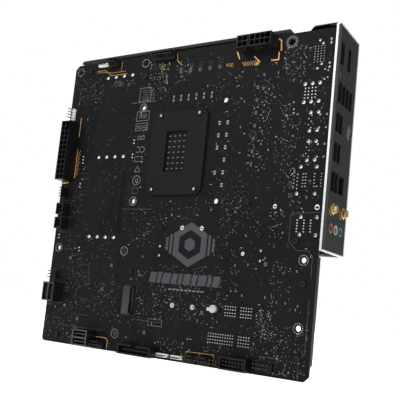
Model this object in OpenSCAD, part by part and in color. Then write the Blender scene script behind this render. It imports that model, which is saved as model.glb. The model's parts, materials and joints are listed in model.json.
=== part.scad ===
/* [Board] */
// Width of the circuit board, from the rear edge to the front edge of the chassis
board_w = 243.84; // [243.84]
// Height of the circuit board, from the top edge to the bottom edge
board_h = 243.84; // [243.84]
// Thickness of the circuit board
pcb_t = 1.6; // [1.6]
// Radius of the chassis mounting holes
mount_r = 1.98; // [1.9:0.02:2.1]
// Radius of the CPU cooler holes
cooler_r = 2; // [1.9:0.05:2.2]
// Side of the square of CPU cooler holes
cooler_pitch = 78; // [78]

/* [Connectors on the back] */
// Height of the main and processor power connectors
power_h = 12.8; // [12:0.1:14]
// Height of the fan, lighting and pin headers
header_h = 8.5; // [8:0.1:11]
// Height of the double drive data connectors
sata_h = 11; // [10:0.5:13]
// Height of the internal USB 3 header
usb3_h = 9.4; // [9:0.1:11]

/* [Slots on the front] */
// Pitch of the memory slots
dimm_pitch = 8.9; // [8.6:0.1:10]
// Height of the memory slot bodies
dimm_h = 7.6; // [7:0.1:9]
// Height of the expansion slot bodies
pcie_h = 11.2; // [11:0.1:12]

/* [Cooling and covers] */
// Height of the voltage regulator heatsinks
vrm_h = 33; // [20:1:38]
// Height of the rear cover over the ports
cover_h = 38; // [36:1:42]

/* [Hidden] */

// Board coordinates: u runs from the rear edge towards the front of the chassis, v runs down from the top edge.
// The origin is the centre of the datum hole on the back face, +Y is the component side.
datum_u = 10.16;
datum_v = 163.83;
mount_holes = [[33.02, 6.35], [165.1, 6.35], [237.49, 6.35], [10.16, 163.83], [165.1, 163.83],
               [237.49, 163.83], [10.16, 209.55], [165.1, 229.87]];
socket_u = 123.1;
socket_v = 84.2;
cooler_holes = [for (i = [-1, 1], j = [-1, 1]) [socket_u + i * cooler_pitch / 2, socket_v + j * cooler_pitch / 2]];
frame_screws = [[-18.3, -30], [18.3, -30], [-20, 30], [20, 30]];
dimm_u0 = 178;
m2_front_v = 144;
m2_back_v = 202.5;
m2_post_u = 75;
x16_v = 162.4;
slot_pitch = 20.32;
board_chamfer = 3.6;
board_r = 3;
edge_bosses = [[41, 13], [163, 18], [225, 6.4]];
clear = 0.3;
shaft_gap = 0.06;
face_u = -4;
rim_u = -1;
rim_t = 0.5;
shield_near = 2.24;
aperture_w = 158.75;
aperture_d = 44.45;
face_deep = 35.5;

// A point of the board on its back face, local z away from the board and local x towards the rear edge
module back(u, v) {
  translate([datum_u - u, 0, datum_v - v]) rotate([90, 0, 0]) children();
}

// A point of the board on its component face, local z away from the board and local x towards larger u
module front(u, v) {
  translate([datum_u - u, pcb_t, datum_v - v]) rotate([90, 0, 180]) children();
}

// A box between two u, two v and two heights above the back face
module back_box(u, v, h) {
  translate([datum_u - u[1], -h[1], datum_v - v[1]]) cube([u[1] - u[0], h[1] - h[0], v[1] - v[0]]);
}

// A box between two u, two v and two heights above the component face
module front_box(u, v, h) {
  translate([datum_u - u[1], pcb_t + h[0], datum_v - v[1]]) cube([u[1] - u[0], h[1] - h[0], v[1] - v[0]]);
}

// A hole through the board
module board_hole(u, v, r) {
  translate([datum_u - u, -1, datum_v - v]) rotate([-90, 0, 0]) cylinder(r = r, h = pcb_t + 2, $fn = 48);
}

// An upright shape drawn in u and v, between two heights above the component face
module front_slab(points, h) {
  translate([0, pcb_t + h[1], 0]) rotate([90, 0, 0]) linear_extrude(h[1] - h[0])
    polygon([for (p = points) [datum_u - p[0], datum_v - p[1]]]);
}

// A cylinder along X between two u, at v and at height h above the component face
module rear_rod(u, v, h, r) {
  translate([datum_u - u[1], pcb_t + h, datum_v - v]) rotate([0, 90, 0]) cylinder(r = r, h = u[1] - u[0], $fn = 32);
}

module pcb() {
  c = board_chamfer;
  color([0.05, 0.055, 0.06]) difference() {
    translate([0, pcb_t, 0]) rotate([90, 0, 0]) linear_extrude(pcb_t) translate([datum_u, datum_v]) union() {
      polygon([[0, 0], [c - board_w, 0], [-board_w, -c], [-board_w, board_r - board_h],
               [board_r - board_w, -board_h], [-c, -board_h], [0, c - board_h]]);
      translate([board_r - board_w, board_r - board_h]) circle(r = board_r, $fn = 48);
    }
    for (p = mount_holes) board_hole(p[0], p[1], mount_r);
    for (p = cooler_holes) board_hole(p[0], p[1], cooler_r);
  }
}

// One joint of solder, a low cone that stands on the back face
module solder(u, v, r) {
  back(u, v) cylinder(r1 = r, r2 = r * 0.45, h = 0.5 + r * 0.5, $fn = 24);
}

module solder_row(u, v, step, count, r) {
  for (i = [0 : count - 1]) solder(u + step[0] * i, v + step[1] * i, r);
}

module solder_joints() {
  color([0.8, 0.8, 0.82]) {
    // display and HDMI stack
    for (p = [[11.5, 8], [3, 8], [9, 10.5], [3, 10.6], [9, 25.6], [3, 25.4], [12, 28.5], [3, 28.4]])
      solder(p[0], p[1], 0.95);
    for (i = [0 : 6], j = [0 : 3]) solder(7.6 + 2.3 * j, 12.4 + 1.9 * i, 0.4);
    // BIOS switch
    for (p = [[6, 30], [3.5, 31], [6, 37], [3.5, 36]]) solder(p[0], p[1], 0.65);
    // four high USB stack
    for (u = [20, 14.5, 9], v = [39.3, 52.5]) solder(u, v, 1.35);
    for (u = [19.5, 17, 14.2, 11.7], v = [42.5, 44.9, 47.3, 49.7]) solder(u, v, 0.6);
    // double USB stacks
    for (v = [60.5, 73.5, 81, 94.5]) solder(14, v, 1.25);
    for (v = [62.3, 71.6, 83.3, 92.2], u = [2, 7]) solder(u, v, 0.8);
    for (v0 = [62.6, 83.1], i = [0 : 4]) solder(i % 2 == 0 ? 13 : 15, v0 + 2.2 * i, 0.5);
    // network and USB stack
    for (p = [[18, 99], [6.3, 99.3], [19.5, 118], [6.3, 118]]) solder(p[0], p[1], 1.25);
    for (i = [0 : 4]) solder(22.4, 103 + 2.5 * i, 0.5);
    for (i = [0 : 4]) solder(19.8, 104.4 + 2.5 * i, 0.5);
    for (u = [13.7, 15.7, 7.3, 2.3], i = [0 : 4]) solder(u, 104.2 + 2.2 * i, 0.5);
    // audio jacks
    for (u = [15, 3.3], v = [134.3, 146.5]) solder(u, v, 1.25);
    for (u = [17.3, 12.3, 7.3]) solder_row(u, 136.4, [0, 2], 5, 0.6);
    // feet of the memory slots
    for (i = [0 : 3], v = [15, 85.3, 153.3]) solder(dimm_u0 + dimm_pitch * i, v, 1.3);
    // expansion slots
    for (p = [[43.2, 158.7], [43.2, 165.9], [130.5, 158.7], [130.5, 165.9]]) solder(p[0], p[1], 0.9);
    for (v = [199.7, 201.8, 204.2, 206.3]) {
      solder_row(46, v, [2, 0], 5, 0.5);
      solder_row(58.8, v, [2, 0], 5, 0.5);
    }
    for (v = [220, 222, 224.3, 226.4]) {
      solder_row(46, v, [2, 0], 5, 0.5);
      solder_row(58.8, v, [2, 0], 11, 0.5);
    }
    // pairs of pins of small through-hole parts
    for (p = [[222, 84], [222, 87], [168, 72], [168, 84], [222, 108], [239, 152.5], [214, 163], [27, 57]])
      solder_row(p[0], p[1], [0, 2.7], 2, 0.6);
  }
}

module socket_backplate() {
  w = 51.4;
  h = 67.6;
  c = 4;
  t = 2.2;
  color([0.16, 0.18, 0.17]) difference() {
    back(socket_u, socket_v + 0.4) linear_extrude(t) polygon([
      [-w / 2 + c, -h / 2], [w / 2 - c, -h / 2], [w / 2, -h / 2 + c], [w / 2, h / 2 - c],
      [w / 2 - c, h / 2], [-w / 2 + c, h / 2], [-w / 2, h / 2 - c], [-w / 2, -h / 2 + c]]);
    back_box([115, 134], [67.5, 100], [-1, t + 1]);
    for (p = frame_screws) back(socket_u + p[0], socket_v + p[1]) translate([0, 0, -1]) cylinder(r = 2.3, h = t + 2, $fn = 32);
  }
}

module backplate_screws() {
  color([0.5, 0.5, 0.5]) for (p = frame_screws) back(socket_u + p[0], socket_v + p[1]) difference() {
    cylinder(r = 2.2, h = 3, $fn = 32);
    translate([0, 0, 1.4]) cylinder(r = 1.1, h = 3, $fn = 6);
  }
}

module socket_body() {
  color([0.1, 0.1, 0.1]) difference() {
    front_box([socket_u - 21.5, socket_u + 21.5], [socket_v - 25.5, socket_v + 25.5], [0, 3]);
    front_box([socket_u - 18.9, socket_u + 18.9], [socket_v - 22.7, socket_v + 22.7], [1.4, 4]);
    front_box([socket_u - 6, socket_u + 6], [socket_v - 8, socket_v + 8], [-1, 4]);
  }
}

hinge_v = socket_v - 33;
plate_v = socket_v - 28.4;
hinge_y = 3;
plate_y = 4;

module load_frame() {
  color([0.7, 0.7, 0.72]) {
    difference() {
      front_box([socket_u - 24.5, socket_u + 24.5], [socket_v - 34, socket_v + 33.5], [0, 1]);
      front_box([socket_u - 21.8, socket_u + 21.8], [socket_v - 25.8, socket_v + 25.8], [-1, 2]);
      for (p = frame_screws) front(socket_u + p[0], socket_v + p[1]) translate([0, 0, -1]) cylinder(r = 1.6, h = 3, $fn = 32);
    }
    for (u = [socket_u - 22.5, socket_u + 21.3]) difference() {
      front_box([u, u + 1.2], [hinge_v - 1.6, hinge_v + 1.6], [1, 4.8]);
      rear_rod([u - 1, u + 2.2], hinge_v, hinge_y, 0.9 + shaft_gap);
    }
    for (u = [socket_u - 11.5, socket_u + 10.3]) difference() {
      front_box([u, u + 1.2], [plate_v - 1.6, plate_v + 1.6], [1, 5.6]);
      rear_rod([u - 1, u + 2.2], plate_v, plate_y, 0.8 + shaft_gap);
    }
    // shoulder screw that holds the plate's nose, and the lever's hook
    front(socket_u, socket_v + 31) cylinder(r = 1.6, h = 3, $fn = 32);
    front_box([socket_u + 22.5, socket_u + 24.5], [socket_v + 22, socket_v + 26], [1, 2.2]);
  }
}

module load_plate() {
  t = 1.2;
  color([0.75, 0.75, 0.77]) {
    difference() {
      front_box([socket_u - 20.5, socket_u + 20.5], [plate_v + 2.8, socket_v + 26.2], [plate_y - 0.6, plate_y - 0.6 + t]);
      front_box([socket_u - 14.5, socket_u + 14.5], [socket_v - 18.5, socket_v + 18.5], [0, 9]);
    }
    front_box([socket_u - 4, socket_u + 4], [socket_v + 26, socket_v + 28.5], [plate_y - 0.6, plate_y - 0.6 + t]);
    front_box([socket_u - 8, socket_u + 8], [plate_v, plate_v + 3], [plate_y - 0.6, plate_y - 0.6 + t]);
    rear_rod([socket_u - 12, socket_u + 12], plate_v, plate_y, 0.8);
  }
}

module load_lever() {
  arm_u = socket_u + 25.6;
  tip_v = socket_v + 36;
  color([0.8, 0.8, 0.82]) {
    rear_rod([socket_u - 23, arm_u], hinge_v, hinge_y, 0.9);
    front(arm_u, hinge_v) translate([0, 0, hinge_y]) sphere(r = 0.9, $fn = 24);
    front(arm_u, hinge_v) translate([0, 0, hinge_y]) rotate([90, 0, 0]) cylinder(r = 0.9, h = tip_v - hinge_v, $fn = 24);
    front(arm_u, tip_v) translate([0, 0, hinge_y]) sphere(r = 0.9, $fn = 24);
    rear_rod([arm_u, arm_u + 5], tip_v, hinge_y, 0.9);
  }
}

// A block of cooling fins with grooves cut along v or along u
module finned_block(u, v, h, base, pitch, along_v) {
  difference() {
    front_box(u, v, h);
    if (along_v) {
      for (x = [u[0] + pitch : pitch : u[1] - pitch / 2])
        front_box([x, x + pitch * 0.45], [v[0] - 1, v[1] + 1], [h[0] + base, h[1] + 1]);
    } else {
      for (y = [v[0] + pitch : pitch : v[1] - pitch / 2])
        front_box([u[0] - 1, u[1] + 1], [y, y + pitch * 0.45], [h[0] + base, h[1] + 1]);
    }
  }
}

module vrm_heatsink_side() {
  color([0.12, 0.12, 0.13]) finned_block([40, 74], [24, 118], [1.6, vrm_h], 10, 7.8, false);
}

module vrm_heatsink_top() {
  color([0.12, 0.12, 0.13]) finned_block([78, 160], [3, 32], [1.6, vrm_h - 5], 10, 8.2, true);
}

module io_cover() {
  w = 2;
  u1 = 38;
  color([0.1, 0.1, 0.11]) {
    // roof, with a chamfer at the top corner
    front_slab([[0, -4.4], [17.2, -4.4], [21.6, 0.6], [u1, 0.6], [u1, 157], [0, 157]], [cover_h - w, cover_h]);
    // top wall that reaches past the board's edge
    front_slab([[0, -4.4], [17.2, -4.4], [21.6, 0.6], [19, 1.6], [17.6, 1.6], [17.6, -2.4], [0, -2.4]], [0, cover_h - w]);
    front_box([17.6, u1], [0.6, 0.6 + w], [0, cover_h - w + 0.1]);
    front_box([u1 - w, u1], [0.6, 157], [1.8, cover_h - w + 0.1]);
    // bottom wall, leaning in towards the roof
    translate([datum_u - u1, 0, datum_v]) rotate([90, 0, 90]) linear_extrude(u1)
      polygon([[pcb_t, -160.2], [pcb_t + cover_h - w, -157], [pcb_t + cover_h - w, -155], [pcb_t, -158.2]]);
  }
}

module top_edge_cover() {
  color([0.13, 0.13, 0.14]) {
    front_slab([[36, -4.6], [237.2, -4.6], [239.4, -2.4], [238, -1.6], [236.4, -2.2], [36.6, -2.2], [34.2, -0.8], [33.4, -1.6]], [0, 9]);
    difference() {
      front_slab([[36, -4.6], [237.2, -4.6], [241, 0], [243.4, 3.4], [243.4, 10.5], [210, 10.5], [208.6, 6.6],
                  [174.2, 6.6], [174.2, 9], [169.6, 9], [166, 2], [36, 2]], [9, 10.5]);
      front(237.49, 6.35) translate([0, 0, 8]) cylinder(r = 3.6, h = 4, $fn = 48);
    }
    front_slab([[241.9, 2.4], [243.4, 3.6], [243.4, 10.5], [241.9, 10.5]], [1, 9.1]);
    for (p = edge_bosses) {
      front(p[0], p[1]) cylinder(r = 2.6, h = 10.5, $fn = 32);
      front_box([p[0] - 2.6, p[0] + 2.6], [0, p[1]], [9, 10.5]);
    }
  }
}

module lower_cover() {
  color([0.12, 0.12, 0.13]) difference() {
    front_slab([[0, 161], [38, 161], [38, 228], [30, 236], [3, 236], [0, 233]], [0, 3.3]);
    for (p = [[10.16, 163.83], [10.16, 209.55]]) front(p[0], p[1]) translate([0, 0, -1]) cylinder(r = 4.5, h = 6, $fn = 48);
    front_box([4, 34], [166, 203], [-1, 2]);
  }
}

// Openings of the shield: centre v, distance from the back face, length along v and width away from the board
hdmi = [18, 5.4, 15.4, 5.6];
dport = [18, 19, 16.6, 5];
button_hole = [33.2, 4.6, 5.2, 2.4];
quad = [for (i = [0 : 3]) [45.9, 5.9 + 7.1 * i, 13.6, 5.4]];
duo_v = [67, 87.8];
duo = [for (v = duo_v, i = [0, 1]) [v, 5.4 + 6.6 * i, 13.2, 5.4]];
lan_v = 108.6;
lan_usb = [for (i = [0, 1]) [lan_v, 4.9 + 6.6 * i, 13.4, 5.4]];
lan_jack = [lan_v, 21.3, 12.6, 9.6];
jack_v = 140.4;
jack_h = [for (i = [0 : 2]) 8 + 9.2 * i];
antenna_v = 127.6;
antenna_h = [5.6, 25.2];
port_holes = concat([hdmi, dport, button_hole, lan_jack], quad, duo, lan_usb);

// A hole along X through the shield, given as one of the openings
module port_cut(p, u, grow) {
  y = p[1];
  translate([datum_u - u[1], y - p[3] / 2 - grow, datum_v - p[0] - p[2] / 2 - grow])
    cube([u[1] - u[0], p[3] + 2 * grow, p[2] + 2 * grow]);
}

module io_shield() {
  v0 = -0.9;
  v1 = 156.2;
  t = 0.8;
  color([0.17, 0.17, 0.17]) difference() {
    translate([datum_u - face_u - t, -shield_near + 1.3, datum_v - v1]) cube([t, face_deep + shield_near - 1.3, v1 - v0]);
    for (p = port_holes) port_cut(p, [face_u - 1, face_u + 3], 0.25);
    for (h = jack_h) translate([datum_u - face_u - 2, h, datum_v - jack_v]) rotate([0, 90, 0]) cylinder(r = 3.3, h = 4, $fn = 40);
    for (h = antenna_h) translate([datum_u - face_u - 2, h, datum_v - antenna_v]) rotate([0, 90, 0]) cylinder(r = 3.4, h = 4, $fn = 40);
  }
}

module io_shield_rim() {
  v0 = -1.7;
  v1 = v0 + aperture_w;
  w = 0.8;
  deep = rim_u - face_u + 0.4;
  far_step = 12.8;
  color([0.85, 0.85, 0.85]) {
    // walls of the raised box round the dark face
    translate([datum_u - rim_u, -shield_near, datum_v - v1]) difference() {
      cube([deep, face_deep + shield_near + w, aperture_w]);
      translate([-1, w, w]) cube([deep + 2, face_deep + shield_near - w, aperture_w - 2 * w]);
    }
    // spring fingers that reach to the far side of the chassis opening
    for (z = [6 : far_step : aperture_w - 6])
      translate([datum_u - rim_u, face_deep + w - 0.1, datum_v - v1 + z])
        cube([rim_t, aperture_d - shield_near - face_deep - w + 0.1, 6]);
  }
}

// A memory slot, local x across the slot, local y towards the top edge, local z away from the board
module dimm_slot(n) {
  half = 66.8;
  color([0.08, 0.08, 0.09]) front(dimm_u0 + dimm_pitch * n, socket_v) {
    difference() {
      union() {
        translate([-3.4, -half - 5, 0]) cube([6.8, 2 * half + 5, dimm_h]);
        translate([-3.4, -half - 5, 0]) cube([6.8, 5, 15]);
        for (x = [-3.4, 1.9]) translate([x, half - 0.1, 0]) cube([1.5, 7.6, 9.6]);
      }
      translate([-0.8, -half, 2]) cube([1.6, half + 3.6, dimm_h]);
      translate([-0.8, 5.2, 2]) cube([1.6, half, dimm_h]);
      translate([-0.8, -half - 1.6, 4]) cube([1.6, 2, 12]);
      translate([-5, half + 3.9, 4.6]) rotate([0, 90, 0]) cylinder(r = 0.8 + shaft_gap, h = 10, $fn = 32);
    }
  }
}

module dimm_latch(n) {
  half = 66.8;
  color([0.35, 0.36, 0.38]) front(dimm_u0 + dimm_pitch * n, socket_v) translate([0, half, 0]) {
    translate([-1.6, 0, 0]) rotate([90, 0, 90]) linear_extrude(3.2)
      polygon([[2.1, 2.4], [5.6, 2.4], [5.9, 16.5], [9.4, 18], [9.4, 19.6], [2.4, 19.6],
               [1.9, 16.4], [-0.6, 15.6], [-0.6, 14.2], [1.9, 13.6]]);
    translate([-3.3, 3.9, 4.6]) rotate([0, 90, 0]) cylinder(r = 0.8, h = 6.6, $fn = 32);
  }
}

module dimm_slot_1() { dimm_slot(0); }
module dimm_slot_2() { dimm_slot(1); }
module dimm_slot_3() { dimm_slot(2); }
module dimm_slot_4() { dimm_slot(3); }
module dimm_latch_1() { dimm_latch(0); }
module dimm_latch_2() { dimm_latch(1); }
module dimm_latch_3() { dimm_latch(2); }
module dimm_latch_4() { dimm_latch(3); }

// An expansion slot between two u on the line v, with its key 12 mm from the rear end
module pcie_slot(u0, u1, v) {
  difference() {
    front_box([u0, u1], [v - 3.6, v + 3.6], [0, pcie_h]);
    front_box([u0 + 2, u0 + 13.2], [v - 0.9, v + 0.9], [3, pcie_h + 1]);
    front_box([u0 + 15.2, u1 - 2], [v - 0.9, v + 0.9], [3, pcie_h + 1]);
  }
}

module pcie_x16_slot() {
  color([0.08, 0.08, 0.09]) {
    pcie_slot(42, 131, x16_v);
    for (v = [x16_v - 3.6, x16_v + 1.9]) difference() {
      front_box([130.9, 138], [v, v + 1.7], [0, 7]);
      front(135, v + 2.7) translate([0, -1, 3.6]) rotate([-90, 0, 0]) cylinder(r = 0.8 + shaft_gap, h = 6, $fn = 32);
    }
  }
}

module pcie_x16_shell() {
  color([0.75, 0.76, 0.78]) difference() {
    front_box([41.5, 131.4], [x16_v - 4.1, x16_v + 4.1], [0.6, pcie_h - 0.4]);
    front_box([41.95, 132], [x16_v - 3.65, x16_v + 3.65], [-1, pcie_h + 1]);
  }
}

module pcie_latch() {
  color([0.3, 0.31, 0.33]) {
    translate([datum_u, 0, datum_v - x16_v - 1.5]) linear_extrude(3)
      polygon([for (p = [[133.2, 2], [136.6, 2], [137, 13], [141.5, 14.6], [141.5, 16.2], [134, 16.2],
                         [133.2, 13.6], [131.9, 13], [131.9, 11.9], [133.2, 11.6]]) [-p[0], pcb_t + p[1]]]);
    front(135, x16_v + 3.4) translate([0, 0, 3.6]) rotate([-90, 0, 0]) cylinder(r = 0.8, h = 6.8, $fn = 32);
  }
}

module pcie_short_slots() {
  color([0.08, 0.08, 0.09]) {
    pcie_slot(42, 68, x16_v + 2 * slot_pitch);
    pcie_slot(42, 82, x16_v + 3 * slot_pitch);
  }
}

// Upright front-panel socket at the left edge of the component face
module usb_c_header() {
  color([0.72, 0.73, 0.75]) {
    difference() {
      front_box([235.6, 243.6], [150, 159.4], [0, 9.6]);
      front_box([237.4, 241.8], [151.4, 158], [1.5, 10]);
    }
    front_box([239.1, 240.1], [152.4, 157], [1.4, 8]);
  }
}

module m2_slot_back() {
  color([0.09, 0.09, 0.1]) difference() {
    back_box([149.6, 158.2], [m2_back_v - 11, m2_back_v + 11], [0, 4.2]);
    back_box([148, 154.5], [m2_back_v - 10, m2_back_v + 10], [1.7, 2.8]);
    back_box([148, 151.4], [m2_back_v - 10, m2_back_v + 10], [2.7, 5]);
  }
}

module m2_standoff() {
  color([0.75, 0.65, 0.4]) back(m2_post_u, m2_back_v) difference() {
    union() {
      cylinder(r = 2.6, h = 2.4, $fn = 40);
      cylinder(r = 1.7, h = 3.4, $fn = 40);
    }
    translate([0, 0, 0.8]) cylinder(r = 1 + shaft_gap, h = 4, $fn = 32);
  }
}

module m2_latch() {
  color([0.85, 0.86, 0.86]) back(m2_post_u, m2_back_v) {
    difference() {
      translate([0, 0, 3.7]) cylinder(r = 2.8, h = 1.2, $fn = 40);
      translate([-6, 0.9, 4.4]) cube([12, 6, 2]);
    }
    translate([-4.6, -1.6, 3.7]) cube([2.6, 2.4, 1.2]);
    translate([0, 0, 1.2]) cylinder(r = 1, h = 2.6, $fn = 32);
  }
}

module m2_slot_front() {
  color([0.09, 0.09, 0.1]) difference() {
    front_box([150.5, 159], [m2_front_v - 11, m2_front_v + 11], [0, 4.2]);
    front_box([149, 155], [m2_front_v - 10, m2_front_v + 10], [1.7, 2.8]);
  }
}

module m2_heatsink() {
  color([0.14, 0.14, 0.15]) {
    difference() {
      front_box([66, 149.5], [m2_front_v - 12, m2_front_v + 12], [3.4, 9.5]);
      for (i = [0 : 5]) front_box([74 + 12 * i, 78 + 12 * i], [m2_front_v - 13, m2_front_v + 13], [7, 11]);
    }
    for (p = [[69, 0], [146.5, -9]]) front(p[0], m2_front_v + p[1]) cylinder(r = 2.4, h = 3.5, $fn = 32);
  }
}

module chipset_heatsink() {
  color([0.14, 0.14, 0.15]) {
    difference() {
      front_slab([[169.4, 159], [226, 159], [232, 165], [232, 228], [226, 234], [169.4, 234], [169.4, 222],
                  [164, 216], [164, 176], [169.4, 170]], [2, 9]);
      for (i = [0 : 5]) front_box([176, 226], [172 + 9 * i, 176 + 9 * i], [6.5, 10]);
    }
    front_box([188, 210], [192, 214], [0.8, 2]);
    // wing to the front edge, with room for a screwdriver over the chassis hole there
    difference() {
      front_box([230, 243.4], [160, 170], [7.5, 9]);
      front(237.49, 163.83) translate([0, 0, 7]) cylinder(r = 3.6, h = 3, $fn = 48);
    }
  }
}

cell_u = 104;
cell_v = 186;

module battery_holder() {
  color([0.09, 0.09, 0.09]) difference() {
    union() {
      front(cell_u, cell_v) cylinder(r = 12, h = 4.6, $fn = 64);
      front_box([cell_u - 14, cell_u + 14], [cell_v - 5, cell_v + 5], [0, 4.6]);
    }
    front(cell_u, cell_v) translate([0, 0, 1]) cylinder(r = 10.1, h = 5, $fn = 64);
    front_box([cell_u - 5, cell_u + 5], [cell_v - 13, cell_v - 6], [1, 6]);
  }
}

module coin_cell() {
  color([0.8, 0.8, 0.8]) front(cell_u, cell_v) {
    translate([0, 0, 1.1]) cylinder(r = 9.4, h = 0.6, $fn = 64);
    translate([0, 0, 1.6]) cylinder(r = 10, h = 2.6, $fn = 64);
  }
}

// A power connector on the back with a grid of square cells, its centre at u, v
module power_block(u, v, cols, rows, latch_side) {
  pitch = 4.2;
  w = cols * pitch + 1.2;
  l = rows * pitch + 1.2;
  difference() {
    union() {
      back_box([u - w / 2, u + w / 2], [v - l / 2, v + l / 2], [0, power_h]);
      if (latch_side == "u") back_box([u - w / 2 - 1.2, u - w / 2], [v - 2.2, v + 2.2], [6, 10]);
      if (latch_side == "v") back_box([u - 2.2, u + 2.2], [v + l / 2, v + l / 2 + 1.2], [6, 10]);
    }
    for (i = [0 : cols - 1], j = [0 : rows - 1])
      back(u + (i - (cols - 1) / 2) * pitch, v + (j - (rows - 1) / 2) * pitch)
        translate([-1.75, -1.75, 1.5]) cube([3.5, 3.5, power_h]);
  }
  for (i = [0 : cols - 1], j = [0 : rows - 1])
    back(u + (i - (cols - 1) / 2) * pitch, v + (j - (rows - 1) / 2) * pitch)
      translate([-0.5, -0.5, 1.4]) cube([1, 1, 8]);
}

module atx_24pin() {
  color([0.06, 0.06, 0.06]) power_block(235.4, 80.5, 2, 12, "u");
}

module eps_8pin() {
  color([0.06, 0.06, 0.06]) power_block(52.8, 6.2, 4, 2, "v");
}

module eps_4pin() {
  color([0.06, 0.06, 0.06]) power_block(67.2, 6.2, 2, 2, "v");
}

// A friction-lock header on the back: a base, a guide wall and pins in one row along u
module wall_header(u, v, count, wall_side) {
  w = count * 2.54 + 0.2;
  back_box([u - w / 2, u + w / 2], [v - 2.9, v + 2.9], [0, 3.2]);
  back_box([u - w / 2 + 1, u + w / 2 - 1], [wall_side > 0 ? v + 1.7 : v - 2.9, wall_side > 0 ? v + 2.9 : v - 1.7], [3.1, header_h]);
  for (i = [0 : count - 1]) back(u + (i - (count - 1) / 2) * 2.54, v) translate([-0.32, -0.32, 3.1]) cube([0.64, 0.64, header_h - 3.1]);
}

// The same header with its pins in a row along v
module wall_header_v(u, v, count) {
  l = count * 2.54 + 0.2;
  back_box([u - 2.9, u + 2.9], [v - l / 2, v + l / 2], [0, 3.2]);
  back_box([u - 2.9, u - 1.7], [v - l / 2 + 1, v + l / 2 - 1], [3.1, header_h]);
  for (i = [0 : count - 1]) back(u, v + (i - (count - 1) / 2) * 2.54) translate([-0.32, -0.32, 3.1]) cube([0.64, 0.64, header_h - 3.1]);
}

module fan_headers() {
  color([0.07, 0.07, 0.07]) {
    wall_header(197.8, 3.7, 4, -1);
    wall_header(149.9, 4.1, 4, -1);
    wall_header(139.4, 4.1, 4, -1);
    wall_header_v(237.2, 116.3, 4);
    wall_header(178.9, 240, 4, -1);
    wall_header(90.3, 240, 4, -1);
    wall_header(78.9, 240, 4, -1);
  }
}

module white_headers() {
  color([0.9, 0.9, 0.9]) {
    pins(210.4, 3.4, 4, 1);
    pins(238.8, 45.6, 1, 4);
    pins(116.4, 240.6, 4, 1);
    pins(103.3, 240.6, 4, 1);
  }
}

// A plain pin header on the back, its centre at u, v
module pins(u, v, cols, rows) {
  back_box([u - cols * 1.27, u + cols * 1.27], [v - rows * 1.27, v + rows * 1.27], [0, 2.5]);
  for (i = [0 : cols - 1], j = [0 : rows - 1])
    back(u + (i - (cols - 1) / 2) * 2.54, v + (j - (rows - 1) / 2) * 2.54) translate([-0.32, -0.32, 2.4]) cube([0.64, 0.64, header_h - 2.4]);
}

// Pins inside a box of walls du long and dv wide, on the back
module boxed_pins(u, v, du, dv, cols, rows) {
  wall = 1.2;
  difference() {
    back_box([u - du / 2, u + du / 2], [v - dv / 2, v + dv / 2], [0, header_h]);
    back_box([u - du / 2 + wall, u + du / 2 - wall], [v - dv / 2 + wall, v + dv / 2 - wall], [2, header_h + 1]);
  }
  for (i = [0 : cols - 1], j = [0 : rows - 1])
    back(u + (i - (cols - 1) / 2) * 2.54, v + (j - (rows - 1) / 2) * 2.54) translate([-0.32, -0.32, 1.9]) cube([0.64, 0.64, header_h - 2.9]);
}

module pin_headers() {
  color([0.1, 0.1, 0.1]) {
    pins(31.8, 237.4, 5, 2);
    pins(68.2, 239.4, 3, 2);
    pins(236.6, 187.2, 2, 3);
    boxed_pins(53, 238.7, 20.8, 9, 7, 2);
    boxed_pins(234.3, 131, 8.2, 9.8, 2, 3);
    boxed_pins(234.3, 143.2, 8.2, 9.8, 2, 3);
  }
}

module usb3_header() {
  color([0.07, 0.07, 0.07]) {
    difference() {
      back_box([122.6, 153.8], [236, 243.6], [0, usb3_h]);
      back_box([124, 152.4], [237.3, 242.3], [1.8, usb3_h + 1]);
      back_box([135.8, 140.6], [235, 237.6], [4, usb3_h + 1]);
    }
    back_box([125.8, 150.6], [239.4, 240.3], [1.7, 7.6]);
  }
}

// Two L-shaped drive sockets in one block; along is true when the tongues run along v
module sata_block(u, v, along) {
  long = 15.6;
  wide = 12.6;
  du = along ? wide : long;
  dv = along ? long : wide;
  difference() {
    back_box([u - du / 2, u + du / 2], [v - dv / 2, v + dv / 2], [0, sata_h]);
    for (s = [-1, 1]) {
      if (along) back_box([u + s * 3 - 2.1, u + s * 3 + 2.1], [v - 6.4, v + 6.4], [3, sata_h + 1]);
      else back_box([u - 6.4, u + 6.4], [v + s * 3 - 2.1, v + s * 3 + 2.1], [3, sata_h + 1]);
    }
  }
  for (s = [-1, 1]) {
    if (along) {
      back_box([u + s * 3 - 0.6, u + s * 3 + 0.6], [v - 5.2, v + 5.2], [2.9, sata_h - 1]);
      back_box([u + s * 3 - 1.5, u + s * 3 + 0.1], [v + 4.2, v + 5.2], [2.9, sata_h - 1]);
    } else {
      back_box([u - 5.2, u + 5.2], [v + s * 3 - 0.6, v + s * 3 + 0.6], [2.9, sata_h - 1]);
      back_box([u + 4.2, u + 5.2], [v + s * 3 - 0.1, v + s * 3 + 1.5], [2.9, sata_h - 1]);
    }
  }
}

module sata_stack_left() {
  color([0.07, 0.07, 0.07]) sata_block(233.2, 202, true);
}

module sata_stack_bottom() {
  color([0.07, 0.07, 0.07]) sata_block(192.2, 236.1, false);
}

// The metal case of a port, open to the rear, with a tongue inside each opening
module port_case(u1, h, v, holes, tongue) {
  difference() {
    front_box([face_u + 0.9, u1], v, h);
    for (p = holes) port_cut(p, [face_u - 1, face_u + 11], -0.4);
  }
  for (p = holes) {
    translate([datum_u - face_u - 12, p[1] - tongue / 2, datum_v - p[0] - p[2] / 2 + 1.6])
      cube([9, tongue, p[2] - 3.2]);
  }
}

module hdmi_port() {
  color([0.7, 0.7, 0.7]) port_case(14, [0, 9.6], [8.4, 28], [hdmi], 1);
}

module display_port() {
  color([0.7, 0.7, 0.7]) port_case(14, [9.7, 22.6], [8.4, 28], [dport], 1);
}

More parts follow.
